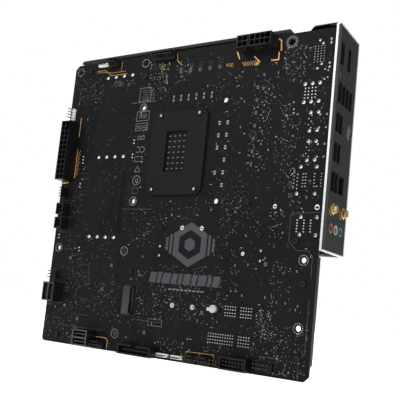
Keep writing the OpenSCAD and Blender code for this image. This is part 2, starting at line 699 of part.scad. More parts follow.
module usb_quad_stack() {
  color([0.72, 0.72, 0.72]) port_case(21, [0, 29.5], [38.6, 53.2], quad, 1.8);
}

module usb_stacks() {
  color([0.72, 0.72, 0.72]) {
    port_case(16, [0, 14.4], [duo_v[0] - 7.2, duo_v[0] + 7.2], [duo[0], duo[1]], 1.8);
    port_case(16, [0, 14.4], [duo_v[1] - 7.2, duo_v[1] + 7.2], [duo[2], duo[3]], 1.8);
  }
}

module lan_usb_stack() {
  color([0.72, 0.72, 0.72]) {
    difference() {
      port_case(23, [0, 26.8], [lan_v - 8, lan_v + 8], lan_usb, 1.8);
      port_cut(lan_jack, [face_u - 1, face_u + 13], -0.4);
    }
    for (i = [0 : 7]) port_cut([lan_v - 3.5 + i, 17.6, 0.35, 0.4], [face_u + 3, face_u + 13.2], 0);
  }
}

module audio_jacks() {
  color([0.1, 0.1, 0.1]) {
    difference() {
      front_box([face_u + 0.9, 17], [jack_v - 6.4, jack_v + 6.4], [0, 30]);
      for (h = jack_h) translate([datum_u - face_u - 15, h, datum_v - jack_v]) rotate([0, 90, 0]) cylinder(r = 1.8, h = 20, $fn = 32);
    }
  }
}

module antenna_jacks() {
  color([0.85, 0.65, 0.3]) for (h = antenna_h) translate([datum_u - face_u - 5.5, h, datum_v - antenna_v]) rotate([0, 90, 0]) {
    difference() {
      union() {
        cylinder(r = 3.05, h = 10.2, $fn = 48);
        cylinder(r = 3.9, h = 4.2, $fn = 6);
        translate([0, 0, 6]) cylinder(r = 4.2, h = 1.8, $fn = 6);
      }
      translate([0, 0, 6.6]) cylinder(r = 2.3, h = 8, $fn = 40);
    }
    cylinder(r = 0.6, h = 9.4, $fn = 24);
  }
}

module wifi_module() {
  color([0.75, 0.75, 0.76]) {
    front_box([6.5, 34], [124.6, 130.6], [0, 26]);
    for (h = antenna_h) rear_rod([1.6, 6.6], antenna_v, h - pcb_t, 0.55);
  }
}

module bios_switch() {
  color([0.1, 0.1, 0.1]) difference() {
    front_box([0, 7], [29.9, 36.7], [0, 6.4]);
    port_cut([33.2, 4.6, 4.2, 1.6], [-1, 5], clear);
  }
}

module bios_button() {
  color([0.8, 0.8, 0.8]) {
    port_cut([33.2, 4.6, 4.2, 1.6], [face_u + 0.2, 3.6], 0);
  }
}

module chokes() {
  s = 7;
  color([0.22, 0.22, 0.23]) {
    for (i = [0 : 5]) front_box([77, 77 + s], [54.5 + 10.2 * i, 54.5 + 10.2 * i + s], [0, 5]);
    for (i = [0 : 5]) front_box([90 + 9.4 * i, 90 + 9.4 * i + s], [42, 42 + s], [0, 5]);
  }
}

module capacitors() {
  color([0.55, 0.55, 0.58]) {
    for (i = [0 : 5]) front(89.6, 59 + 10.2 * i) cylinder(r = 2.6, h = 6, $fn = 32);
    for (i = [0 : 3]) front(213, 30 + 28 * i) cylinder(r = 3.1, h = 8, $fn = 32);
    for (i = [0 : 2]) front(146 + 8 * i, 236) cylinder(r = 2.6, h = 6, $fn = 32);
    for (i = [0 : 2]) front(80 + 8 * i, 127.8) cylinder(r = 2.6, h = 6, $fn = 32);
  }
}

module chips() {
  color([0.06, 0.06, 0.06]) {
    // bridge die under its heatsink, power stages, super I/O and clock chips
    front_box([189, 209], [193, 213], [0, 0.8]);
    for (i = [0 : 5]) front_box([50, 56], [56 + 10.2 * i, 61 + 10.2 * i], [0, 1.6]);
    for (i = [0 : 5]) front_box([90 + 9.4 * i, 96 + 9.4 * i], [28, 33], [0, 1.6]);
    front_box([128, 138], [214, 224], [0, 1.4]);
    front_box([216, 224], [150, 158], [0, 1.4]);
    front_box([26, 33], [84, 91], [0, 1.4]);
    front_box([12, 20], [180, 188], [0, 1.4]);
  }
}

// Screws that come through from the front and hold the heatsinks and covers
module cover_screws() {
  color([0.08, 0.08, 0.08])
    for (p = [[225, 6.4], [163, 18], [155.5, 179.5], [172, 184.5], [213, 213], [45, 147.5], [57, 124],
              [17, 151], [9, 180], [9, 229], [227, 237], [131, 144]])
      back(p[0], p[1]) difference() {
        cylinder(r = 2.1, h = 1.3, $fn = 32);
        translate([0, 0, 0.6]) cylinder(r = 0.9, h = 1.2, $fn = 6);
      }
}

// A small surface part on the back, its centre at u, v
module chip_part(u, v, du, dv, h) {
  back_box([u - du / 2, u + du / 2], [v - dv / 2, v + dv / 2], [0, h]);
}

module surface_parts() {
  color([0.45, 0.44, 0.42]) {
    for (u = [92 : 9 : 128]) chip_part(u, 18, 2.6, 2.2, 0.8);
    for (i = [0 : 6]) {
      chip_part(57, 38 + 9.7 * i, 2.4, 2.4, 0.8);
      chip_part(52.6, 40 + 9.7 * i, 1.2, 0.7, 0.5);
      chip_part(50.6, 42.5 + 9.7 * i, 0.7, 1.2, 0.5);
    }
    for (i = [0 : 5]) {
      chip_part(96.7 + 7.1 * i, 38.6, 1.3, 1.8, 0.7);
      chip_part(96.7 + 7.1 * i, 41.6, 1.3, 1.8, 0.7);
      chip_part(80, 63.2 + 9.6 * i, 1.8, 2.8, 0.8);
    }
    for (i = [0, 1, 2, 4]) chip_part(87, 63.2 + 9.6 * i, 1.8, 2.8, 0.8);
    // decoupling capacitors inside the window of the back plate
    for (i = [0 : 3], j = [0 : 6]) chip_part(117.6 + 4.6 * i, 71 + 4.4 * j, 2, 1.2, 0.6);
    // small regulators near the slots
    for (p = [[176, 176], [183, 196], [222, 172], [38, 168], [86, 206], [136, 226], [206, 222]])
      chip_part(p[0], p[1], 3, 2.6, 0.9);
  }
}

pcb();
solder_joints();
socket_backplate();
backplate_screws();
socket_body();
load_frame();
load_plate();
load_lever();
vrm_heatsink_side();
vrm_heatsink_top();
io_cover();
top_edge_cover();
lower_cover();
io_shield();
io_shield_rim();
dimm_slot_1();
dimm_slot_2();
dimm_slot_3();
dimm_slot_4();
dimm_latch_1();
dimm_latch_2();
dimm_latch_3();
dimm_latch_4();
pcie_x16_slot();
pcie_x16_shell();
pcie_latch();
pcie_short_slots();
usb_c_header();
m2_slot_back();
m2_standoff();
m2_latch();
m2_slot_front();
m2_heatsink();
chipset_heatsink();
battery_holder();
coin_cell();
atx_24pin();
eps_8pin();
eps_4pin();
fan_headers();
white_headers();
pin_headers();
usb3_header();
sata_stack_left();
sata_stack_bottom();
hdmi_port();
display_port();
usb_quad_stack();
usb_stacks();
lan_usb_stack();
audio_jacks();
antenna_jacks();
wifi_module();
bios_switch();
bios_button();
chokes();
capacitors();
chips();
cover_screws();
surface_parts();
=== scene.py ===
"""Looks of the motherboard: materials, printed marks, solder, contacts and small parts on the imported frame.

Lengths are millimetres. Corners and centres that come from the frame are metres, and MM turns the one into the
other. A point of the board is (u, v): u runs from the rear edge towards the front of the chassis and v runs down
from the top edge. y is the distance from the back face, negative out of it; the component face is at FRONT_Y.
"""
import json
import math
import random

import bmesh
import bpy
from mathutils import Matrix, Vector
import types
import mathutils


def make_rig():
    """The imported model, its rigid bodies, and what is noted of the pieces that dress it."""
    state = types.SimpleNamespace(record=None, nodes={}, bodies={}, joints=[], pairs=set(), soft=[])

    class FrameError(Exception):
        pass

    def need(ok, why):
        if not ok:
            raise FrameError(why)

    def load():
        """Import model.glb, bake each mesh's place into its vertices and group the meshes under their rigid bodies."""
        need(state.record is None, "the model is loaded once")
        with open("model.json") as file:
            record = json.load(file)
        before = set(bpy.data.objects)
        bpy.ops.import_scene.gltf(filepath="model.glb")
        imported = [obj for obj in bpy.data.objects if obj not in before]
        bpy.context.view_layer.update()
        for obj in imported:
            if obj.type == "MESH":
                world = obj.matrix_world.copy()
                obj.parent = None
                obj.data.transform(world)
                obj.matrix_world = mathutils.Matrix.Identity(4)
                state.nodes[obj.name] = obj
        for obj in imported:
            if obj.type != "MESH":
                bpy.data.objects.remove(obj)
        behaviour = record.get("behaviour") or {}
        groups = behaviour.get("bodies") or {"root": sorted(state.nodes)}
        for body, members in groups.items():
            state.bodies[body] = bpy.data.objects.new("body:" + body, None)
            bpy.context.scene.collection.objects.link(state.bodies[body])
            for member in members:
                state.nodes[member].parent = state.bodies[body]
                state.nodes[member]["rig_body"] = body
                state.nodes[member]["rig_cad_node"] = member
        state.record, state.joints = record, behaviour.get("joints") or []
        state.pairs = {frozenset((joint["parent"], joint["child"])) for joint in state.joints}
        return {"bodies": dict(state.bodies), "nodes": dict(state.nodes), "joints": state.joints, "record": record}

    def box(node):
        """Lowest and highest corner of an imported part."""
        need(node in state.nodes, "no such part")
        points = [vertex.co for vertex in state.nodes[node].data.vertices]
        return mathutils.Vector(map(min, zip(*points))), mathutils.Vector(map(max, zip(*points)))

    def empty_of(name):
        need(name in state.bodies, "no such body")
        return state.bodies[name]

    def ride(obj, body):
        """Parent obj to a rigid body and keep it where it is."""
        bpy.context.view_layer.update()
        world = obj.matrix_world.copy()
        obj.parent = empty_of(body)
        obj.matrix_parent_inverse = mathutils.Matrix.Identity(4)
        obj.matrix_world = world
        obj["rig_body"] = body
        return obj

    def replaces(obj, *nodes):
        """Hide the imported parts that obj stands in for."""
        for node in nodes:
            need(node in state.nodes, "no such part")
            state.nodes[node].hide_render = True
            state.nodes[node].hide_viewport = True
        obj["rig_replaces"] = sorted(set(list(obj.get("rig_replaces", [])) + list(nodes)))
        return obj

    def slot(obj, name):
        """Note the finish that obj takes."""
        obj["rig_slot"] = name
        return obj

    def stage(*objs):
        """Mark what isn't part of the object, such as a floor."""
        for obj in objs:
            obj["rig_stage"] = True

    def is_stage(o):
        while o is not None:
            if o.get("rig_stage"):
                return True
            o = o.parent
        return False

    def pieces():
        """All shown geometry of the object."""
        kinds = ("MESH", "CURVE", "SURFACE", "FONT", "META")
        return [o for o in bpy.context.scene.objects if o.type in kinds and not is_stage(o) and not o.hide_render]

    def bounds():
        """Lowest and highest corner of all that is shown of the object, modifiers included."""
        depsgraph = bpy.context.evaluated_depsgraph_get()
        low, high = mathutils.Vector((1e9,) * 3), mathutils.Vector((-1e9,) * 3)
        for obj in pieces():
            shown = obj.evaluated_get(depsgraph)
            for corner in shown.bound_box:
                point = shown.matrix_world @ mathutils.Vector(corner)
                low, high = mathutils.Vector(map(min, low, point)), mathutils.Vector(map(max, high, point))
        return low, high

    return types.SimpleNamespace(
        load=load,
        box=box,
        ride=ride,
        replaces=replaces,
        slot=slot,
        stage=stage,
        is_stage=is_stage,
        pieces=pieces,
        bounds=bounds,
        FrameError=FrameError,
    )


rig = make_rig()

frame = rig.load()
cad_bounds = [list(corner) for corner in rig.bounds()]

MM = 0.001
board_low, board_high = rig.box("pcb")
EDGE_X, TOP_Z = board_high.x, board_high.z
BACK_Y, FRONT_Y = board_low.y / MM, board_high.y / MM
BOARD_W = (board_high.x - board_low.x) / MM
BOARD_H = (board_high.z - board_low.z) / MM
OUT_BACK, REAR = Vector((0, -1, 0)), Vector((1, 0, 0))
SAME_POINT_M = 0.000001


def at(u, v, y=0.0):
    return Vector((EDGE_X - u * MM, y * MM, TOP_Z - v * MM))


def board_uv(point):
    return (EDGE_X - point.x) / MM, (TOP_Z - point.z) / MM


# ---------------------------------------------------------------- materials

BROAD_GRAIN = 60.0
RELIEF_DEPTH_M = 0.00003
WEAVE_PER_METRE, WEAVE_DEPTH_M = 520.0, 0.00002
MASK_DARK, MASK_LIGHT, MASK_SPECK = (0.0044, 0.0046, 0.0053), (0.0066, 0.0069, 0.0079), (0.017, 0.0175, 0.019)
BARE_EDGE = (0.032, 0.03, 0.026)


def new_graph(name):
    material = bpy.data.materials.new(name)
    material.use_nodes = True
    nodes, links = material.node_tree.nodes, material.node_tree.links
    return material, nodes, links, nodes["Principled BSDF"]


def noise(nodes, links, vector, scale, detail=4.0):
    node = nodes.new("ShaderNodeTexNoise")
    node.inputs["Scale"].default_value = scale
    node.inputs["Detail"].default_value = detail
    links.new(vector, node.inputs["Vector"])
    return node.outputs["Fac"]


def blend_colour(nodes, links, factor, first, second):
    node = nodes.new("ShaderNodeMix")
    node.data_type = "RGBA"
    links.new(factor, node.inputs["Factor"])
    for socket, value in ((node.inputs["A"], first), (node.inputs["B"], second)):
        if isinstance(value, tuple):
            socket.default_value = (*value, 1)
        else:
            links.new(value, socket)
    return node.outputs["Result"]


def spread(nodes, links, value, low, high, start=0.35, end=0.65):
    node = nodes.new("ShaderNodeMapRange")
    links.new(value, node.inputs["Value"])
    for key, number in (("From Min", start), ("From Max", end), ("To Min", low), ("To Max", high)):
        node.inputs[key].default_value = number
    return node.outputs["Result"]


def surface(name, colour, rough, metal=0.0, grain=1500.0, vary=0.25, bump=0.15, stretch=(1, 1, 1), specular=0.4):
    """A worn or moulded finish: two sizes of noise in its colour, its gloss and its relief."""
    material, nodes, links, shader = new_graph(name)
    place = nodes.new("ShaderNodeTexCoord")
    scaling = nodes.new("ShaderNodeMapping")
    scaling.inputs["Scale"].default_value = stretch
    links.new(place.outputs["Object"], scaling.inputs["Vector"])
    fine = noise(nodes, links, scaling.outputs["Vector"], grain)
    broad = noise(nodes, links, place.outputs["Object"], BROAD_GRAIN, 2.0)
    dark = tuple(c * (1 - vary) for c in colour)
    light = tuple(min(1.0, c * (1 + vary)) for c in colour)
    fine_mix = spread(nodes, links, fine, 0.0, 1.0)
    grained = blend_colour(nodes, links, fine_mix, dark, light)
    broad_mix = spread(nodes, links, broad, 0.0, 0.5)
    links.new(blend_colour(nodes, links, broad_mix, grained, colour), shader.inputs["Base Color"])
    links.new(spread(nodes, links, fine, rough * 0.85, min(1.0, rough * 1.2)), shader.inputs["Roughness"])
    shader.inputs["Metallic"].default_value = metal
    shader.inputs["Specular IOR Level"].default_value = specular
    relief = nodes.new("ShaderNodeBump")
    relief.inputs["Strength"].default_value = bump
    relief.inputs["Distance"].default_value = RELIEF_DEPTH_M
    links.new(fine, relief.inputs["Height"])
    links.new(relief.outputs["Normal"], shader.inputs["Normal"])
    return material


def laminate():
    """Black solder mask over a faint glass weave, with bare laminate on the board's edges."""
    material, nodes, links, shader = new_graph("laminate")
    place = nodes.new("ShaderNodeTexCoord")
    mottle = noise(nodes, links, place.outputs["Object"], 28.0, 5.0)
    speck = noise(nodes, links, place.outputs["Object"], 2600.0, 2.0)
    mask = blend_colour(nodes, links, spread(nodes, links, mottle, 0.0, 1.0), MASK_DARK, MASK_LIGHT)
    speckled = blend_colour(nodes, links, spread(nodes, links, speck, 0.0, 1.0, 0.55, 0.8), mask, MASK_SPECK)
    facing = nodes.new("ShaderNodeSeparateXYZ")
    links.new(place.outputs["Normal"], facing.inputs["Vector"])
    flat = nodes.new("ShaderNodeMath")
    flat.operation = "ABSOLUTE"
    links.new(facing.outputs["Y"], flat.inputs[0])
    on_face = spread(nodes, links, flat.outputs["Value"], 0.0, 1.0, 0.4, 0.6)
    links.new(blend_colour(nodes, links, on_face, BARE_EDGE, speckled), shader.inputs["Base Color"])
    links.new(spread(nodes, links, mottle, 0.42, 0.55), shader.inputs["Roughness"])
    shader.inputs["Specular IOR Level"].default_value = 0.07
    weave = []
    for angle in (0.0, math.pi / 2):
        turned = nodes.new("ShaderNodeMapping")
        turned.inputs["Rotation"].default_value = (0, angle, 0)
        links.new(place.outputs["Object"], turned.inputs["Vector"])
        wave = nodes.new("ShaderNodeTexWave")
        wave.inputs["Scale"].default_value = WEAVE_PER_METRE
        wave.inputs["Distortion"].default_value = 0.6
        links.new(turned.outputs["Vector"], wave.inputs["Vector"])
        weave.append(wave.outputs["Fac"])
    cloth = nodes.new("ShaderNodeMath")
    cloth.operation = "MULTIPLY"
    for socket, value in zip(cloth.inputs, weave):
        links.new(value, socket)
    relief = nodes.new("ShaderNodeBump")
    relief.inputs["Strength"].default_value = 0.12
    relief.inputs["Distance"].default_value = WEAVE_DEPTH_M
    links.new(cloth.outputs["Value"], relief.inputs["Height"])
    links.new(relief.outputs["Normal"], shader.inputs["Normal"])
    return material


# colour, roughness and what else differs from the usual finish
FINISHES = {
    "copper_under_mask": ((0.0075, 0.0079, 0.009), 0.45, dict(vary=0.15, specular=0.09)),
    "solder": ((0.66, 0.66, 0.67), 0.3, dict(metal=0.85, grain=2200.0, vary=0.12, bump=0.3)),
    "plated": ((0.5, 0.5, 0.49), 0.42, dict(metal=0.35, grain=3000.0, vary=0.3)),
    "part_end": ((0.3, 0.3, 0.295), 0.45, dict(metal=0.35, grain=3000.0, vary=0.3)),
    "print_grey": ((0.13, 0.134, 0.142), 0.6, dict(grain=2600.0, vary=0.3)),
    "print_faint": ((0.045, 0.047, 0.051), 0.6, dict(grain=2600.0, vary=0.3)),
    "print_mark": ((0.05, 0.0515, 0.056), 0.5, dict(grain=900.0, vary=0.12, specular=0.15)),
    "print_orange": ((0.62, 0.33, 0.09), 0.5, dict(grain=2600.0, vary=0.25)),
    "backplate_steel": ((0.0062, 0.0074, 0.0066), 0.55,
                        dict(grain=1200.0, vary=0.3, bump=0.4, specular=0.1)),
    "screw_steel": ((0.42, 0.42, 0.43), 0.32, dict(metal=0.9, grain=2000.0)),
    "black_plastic": ((0.0045, 0.0045, 0.005), 0.42, dict(grain=2400.0, bump=0.35, specular=0.2)),
    "gloss_plastic": ((0.006, 0.006, 0.0066), 0.25, dict(grain=2400.0, bump=0.3, specular=0.6)),
    "latch_grey": ((0.42, 0.42, 0.42), 0.4, dict(grain=2400.0, vary=0.15, bump=0.3)),
    "bright_steel": ((0.4, 0.4, 0.405), 0.3,
                     dict(metal=0.95, grain=900.0, stretch=(1, 1, 14), vary=0.15, bump=0.25)),
    "black_aluminium": ((0.028, 0.029, 0.032), 0.38,
                        dict(metal=0.55, grain=700.0, stretch=(9, 1, 1), vary=0.25, bump=0.3)),
    "cover_plastic": ((0.009, 0.0092, 0.01), 0.5, dict(grain=2600.0, bump=0.5, specular=0.25)),
    "shield_dark": ((0.0125, 0.0127, 0.0125), 0.5,
                    dict(metal=0.1, grain=1400.0, vary=0.3, bump=0.3, specular=0.15)),
    "shield_bright": ((0.62, 0.62, 0.62), 0.36,
                      dict(metal=0.6, grain=800.0, stretch=(1, 1, 10), vary=0.1, bump=0.2)),
    "brass": ((0.7, 0.5, 0.25), 0.3, dict(metal=0.95, grain=1800.0)),
    "white_plastic": ((0.72, 0.72, 0.7), 0.45, dict(grain=2400.0, vary=0.08, bump=0.25)),
    "grey_plastic": ((0.075, 0.078, 0.084), 0.45, dict(grain=2400.0, vary=0.2, bump=0.3)),
    "cell_steel": ((0.4, 0.4, 0.405), 0.28,
                   dict(metal=0.95, grain=500.0, stretch=(1, 1, 12), vary=0.12, bump=0.2)),
    "port_steel": ((0.012, 0.012, 0.0125), 0.5, dict(metal=0.6, grain=1200.0, vary=0.15, specular=0.2)),
    "gold": ((0.5, 0.36, 0.17), 0.24, dict(metal=0.97, grain=2400.0, vary=0.2, bump=0.2)),
    "ferrite": ((0.055, 0.055, 0.058), 0.6, dict(grain=1500.0, vary=0.35, bump=0.7)),
    "capacitor_aluminium": ((0.34, 0.34, 0.35), 0.3, dict(metal=0.9, grain=1500.0, vary=0.12)),
    "sleeve_dark": ((0.02, 0.02, 0.022), 0.4, dict(grain=1800.0)),
    "chip_epoxy": ((0.009, 0.009, 0.0098), 0.5, dict(grain=2600.0, vary=0.3, bump=0.6, specular=0.25)),
    "black_screws": ((0.008, 0.008, 0.009), 0.35, dict(metal=0.5, grain=1500.0)),
    # lead tips: the shape is real; the dark colour is painted shade for the joints' dark centres
    "joint_tip_painted_shade": ((0.1, 0.1, 0.1), 0.35, dict(metal=0.8, grain=2400.0)),
    # header pins: gold darkened far below its own colour, as painted shade of the connectors' cells
    "pin_gold_painted_shade": ((0.11, 0.09, 0.062), 0.35, dict(metal=0.9, grain=2000.0)),
    "brass_ring": ((0.13, 0.075, 0.045), 0.45, dict(metal=0.6, grain=2000.0)),
    # power connector pins: tin darkened far below its own colour, as painted shade of the connectors' cells
    "pin_tin_painted_shade": ((0.2, 0.18, 0.15), 0.4, dict(metal=0.9, grain=2000.0)),
    "via_tin": ((0.38, 0.38, 0.39), 0.4, dict(metal=0.3, grain=3000.0, vary=0.5)),
    "rim_shade": ((0.035, 0.035, 0.035), 0.45,
                  dict(metal=0.3, grain=800.0, stretch=(1, 1, 10), specular=0.2)),
    "part_dim": ((0.06, 0.058, 0.055), 0.5, dict(grain=2600.0, vary=0.25)),
    "part_tan": ((0.11, 0.09, 0.07), 0.5, dict(grain=2600.0, vary=0.25)),
    "part_grey": ((0.05, 0.05, 0.051), 0.5, dict(grain=1600.0, vary=0.4, bump=0.4)),
    "jack_red": ((0.2, 0.05, 0.06), 0.45, dict(grain=2400.0, vary=0.1)),
    "jack_green": ((0.2, 0.25, 0.17), 0.45, dict(grain=2400.0, vary=0.1)),
    "jack_blue": ((0.055, 0.085, 0.17), 0.45, dict(grain=2400.0, vary=0.1)),
    "insulator": ((0.75, 0.74, 0.7), 0.5, dict(grain=2400.0, vary=0.06)),
}
M = {name: surface(name, colour, rough, **more) for name, (colour, rough, more) in FINISHES.items()}
M["pcb_black"] = laminate()


# ---------------------------------------------------------------- shapes

def sideways(points, offset, closed):
    """The path moved to its left by an offset, its corners mitred."""
    moved, count = [], len(points)
    for i, p in enumerate(points):
        p = Vector(p)
        before = (p - Vector(points[i - 1])).normalized() if i or closed else None
        after = (Vector(points[(i + 1) % count]) - p).normalized() if i < count - 1 or closed else None
        before, after = before or after, after or before
        normals = [Vector((-d.y, d.x)) for d in (before, after)]
        middle = (normals[0] + normals[1]).normalized()
        moved.append(p + middle * offset / max(0.35, middle.dot(normals[0])))
    return moved


class Shape:
    """The points and faces of one piece, collected until piece() makes the object."""

    def __init__(self):
        self.points = []
        self.faces = []

    def add(self, points, faces):
        first = len(self.points)
        self.points += points
        self.faces += [[first + i for i in face] for face in faces]

    def rings(self, rings, loop=False):
        """Joins rings of the same number of points into a closed skin; a loop's last ring joins its first."""
        n, faces = len(rings[0]), []
        for k in range(len(rings) - (0 if loop else 1)):
            a, b = k * n, (k + 1) % len(rings) * n
            faces += [[a + i, a + (i + 1) % n, b + (i + 1) % n, b + i] for i in range(n)]
        if not loop:
            faces += [list(reversed(range(n))), [(len(rings) - 1) * n + i for i in range(n)]]
        self.add([p for ring in rings for p in ring], faces)

    def prism(self, outline, y0, y1):
        self.rings([[at(u, v, y) for u, v in outline] for y in (y0, y1)])

    def box(self, u, v, y):
        self.prism([(u[0], v[0]), (u[1], v[0]), (u[1], v[1]), (u[0], v[1])], y[0], y[1])

    def solid_box(self, low, high):
        round_xy = ((low.x, low.y), (high.x, low.y), (high.x, high.y), (low.x, high.y))
        self.rings([[Vector((x, y, z)) for x, y in round_xy] for z in (low.z, high.z)])

    def ribbon(self, path, width, y0, y1, closed=False):
        left, right = sideways(path, width / 2, closed), sideways(path, -width / 2, closed)
        sections = [[at(*l, y0), at(*r, y0), at(*r, y1), at(*l, y1)] for l, r in zip(left, right)]
        self.rings(sections, loop=closed)

    def lathe(self, centre, axis, profile, sides, loop=False, stretch=1.0):
        """profile holds (radius, height) pairs; stretch widens the round across the board."""
        side = axis.orthogonal().normalized() if abs(axis.x) > 0.5 else Vector((1, 0, 0))
        other = axis.cross(side)
        turns = [2 * math.pi * i / sides for i in range(sides)]
        round_axis = [side * math.cos(a) * stretch + other * math.sin(a) for a in turns]
        self.rings([[centre + (axis * h + out * r) * MM for out in round_axis] for r, h in profile], loop=loop)

    def piece(self, name, material, slot, replaces=(), bevel=0.0, segments=2, smooth=40.0):
        mesh = bpy.data.meshes.new(name)
        mesh.from_pydata(self.points, [], self.faces)
        work = bmesh.new()
        work.from_mesh(mesh)
        bmesh.ops.recalc_face_normals(work, faces=work.faces)
        work.to_mesh(mesh)
        work.free()
        finish_piece(mesh, name, material, slot, "board", replaces, bevel, segments, smooth)


ROUNDED_FROM_DEGREES, SMOOTH_TO_DEGREES = 38, 35.0
COPLANAR_DEGREES = 0.6


def finish_piece(mesh, name, material, slot, body, replaces, bevel, segments, smooth):
    thing = bpy.data.objects.new(name, mesh)
    bpy.context.scene.collection.objects.link(thing)
    mesh.materials.clear()
    mesh.materials.append(M[material])
    mesh.shade_smooth()
    mesh.set_sharp_from_angle(angle=math.radians(smooth))
    if bevel:
        rounding = thing.modifiers.new("rounding", "BEVEL")
        rounding.width = bevel * MM
        rounding.segments = segments
        rounding.limit_method = "ANGLE"
        rounding.angle_limit = math.radians(ROUNDED_FROM_DEGREES)
        rounding.harden_normals = True
    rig.ride(thing, body)
    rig.slot(thing, slot)
    if replaces:
        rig.replaces(thing, *replaces)


def slot_of(node):
    return next(part["material_slot"] for part in frame["record"]["subparts"] if part["node"] == node)


def rounded(node, bevel, material=None):
    """Stands for a CAD node with the same shape and small rounded edges."""
    mesh = frame["nodes"][node].data.copy()
    work = bmesh.new()
    work.from_mesh(mesh)
    bmesh.ops.remove_doubles(work, verts=work.verts, dist=SAME_POINT_M)
    bmesh.ops.dissolve_limit(work, angle_limit=math.radians(COPLANAR_DEGREES), verts=work.verts, edges=work.edges)
    work.to_mesh(mesh)
    work.free()
    finish_piece(mesh, "soft_" + node, material or slot_of(node), slot_of(node), frame["nodes"][node]["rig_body"],
                 (node,), bevel, 2, SMOOTH_TO_DEGREES)


def solids(node):
    """Lowest and highest corner of each separate solid of a CAD node."""
    mesh = frame["nodes"][node].data
    keys, parent, ids = {}, [], []
    for vertex in mesh.vertices:
        key = tuple(round(c, 6) for c in vertex.co)
        if key not in keys:
            keys[key] = len(parent)
            parent.append(len(parent))
        ids.append(keys[key])

    def root(i):
        while parent[i] != i:
            parent[i] = parent[parent[i]]
            i = parent[i]
        return i

    for face in mesh.polygons:
        first = root(ids[face.vertices[0]])
        for other in face.vertices[1:]:
            parent[root(ids[other])] = first
    found = {}
    for key, i in keys.items():
        low, high = found.setdefault(root(i), (list(key), list(key)))
        for axis in range(3):
            low[axis] = min(low[axis], key[axis])
            high[axis] = max(high[axis], key[axis])
    return sorted(((Vector(low), Vector(high)) for low, high in found.values()), key=lambda box: tuple(box[0]))


# ---------------------------------------------------------------- camera, light and floor

CAMERA_PLACE_M = (0.17077, -0.39882, -0.03665)
CAMERA_RIGHT = Vector((0.84378, 0.527, 0.10148))
CAMERA_UP = Vector((-0.02378, -0.15219, 0.98807))
CAMERA_VIEW = Vector((-0.53616, 0.83613, 0.11588))
camera_data = bpy.data.cameras.new("camera")
camera_data.lens = 57.36
camera_data.sensor_width = 36.0
camera_data.shift_y = 0.075
camera_data.clip_start = 0.01
camera = bpy.data.objects.new("camera", camera_data)
camera_turn = Matrix((CAMERA_RIGHT, CAMERA_UP, -CAMERA_VIEW)).transposed().to_4x4()
camera.matrix_world = Matrix.Translation(CAMERA_PLACE_M) @ camera_turn
bpy.context.scene.collection.objects.link(camera)
bpy.context.scene.camera = camera

# name, place and side in metres, watts
LAMPS = (
    ("key", (-0.55, -1.3, 1.0), 1.3, 13.0), ("rear_fill", (1.3, -0.5, 0.5), 0.9, 5.0),
    ("front_face", (-0.7, 1.3, 0.8), 1.2, 13.0), ("top", (0.1, 0.0, 1.8), 1.6, 14.0),
)
target = (board_low + board_high) / 2
for name, spot, size, power in LAMPS:
    lamp_data = bpy.data.lights.new(name, "AREA")
    lamp_data.size = size
    lamp_data.energy = power
    lamp = bpy.data.objects.new(name, lamp_data)
    lamp.location = spot
    lamp.rotation_euler = (target - Vector(spot)).to_track_quat("-Z", "Y").to_euler()
    bpy.context.scene.collection.objects.link(lamp)

# the studio's white is full for the camera and dimmer as light
WORLD_LIGHT, WORLD_SEEN = 0.32, 1.0
world = bpy.data.worlds.new("studio")
bpy.context.scene.world = world
world.use_nodes = True
sky = world.node_tree.nodes["Background"]
seen = world.node_tree.nodes.new("ShaderNodeLightPath")
brightness = world.node_tree.nodes.new("ShaderNodeMapRange")
brightness.inputs["To Min"].default_value = WORLD_LIGHT
brightness.inputs["To Max"].default_value = WORLD_SEEN
world.node_tree.links.new(seen.outputs["Is Camera Ray"], brightness.inputs["Value"])
world.node_tree.links.new(brightness.outputs["Result"], sky.inputs["Strength"])
sky.inputs["Color"].default_value = (1, 1, 1, 1)
bpy.context.scene.view_settings.view_transform = "Standard"

FLOOR_GAP_M, FLOOR_HALF_M, FLOOR_GLOW = 0.0003, 4, 0.9
floor_mesh = bpy.data.meshes.new("floor")
floor_z = cad_bounds[0][2] - FLOOR_GAP_M
floor_corners = [(x * FLOOR_HALF_M, y * FLOOR_HALF_M, floor_z) for x, y in ((-1, -1), (1, -1), (1, 1), (-1, 1))]
floor_mesh.from_pydata(floor_corners, [], [(0, 1, 2, 3)])
floor = bpy.data.objects.new("floor", floor_mesh)
bpy.context.scene.collection.objects.link(floor)
paper = surface("floor_paper", (0.94, 0.94, 0.94), 0.9, grain=300.0, vary=0.02, bump=0.05, specular=0.1)
glow = paper.node_tree.nodes["Principled BSDF"]
glow.inputs["Emission Color"].default_value = (1, 1, 1, 1)
glow.inputs["Emission Strength"].default_value = FLOOR_GLOW
floor_mesh.materials.append(paper)
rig.stage(floor)

# ---------------------------------------------------------------- CAD nodes with rounded edges or a finish

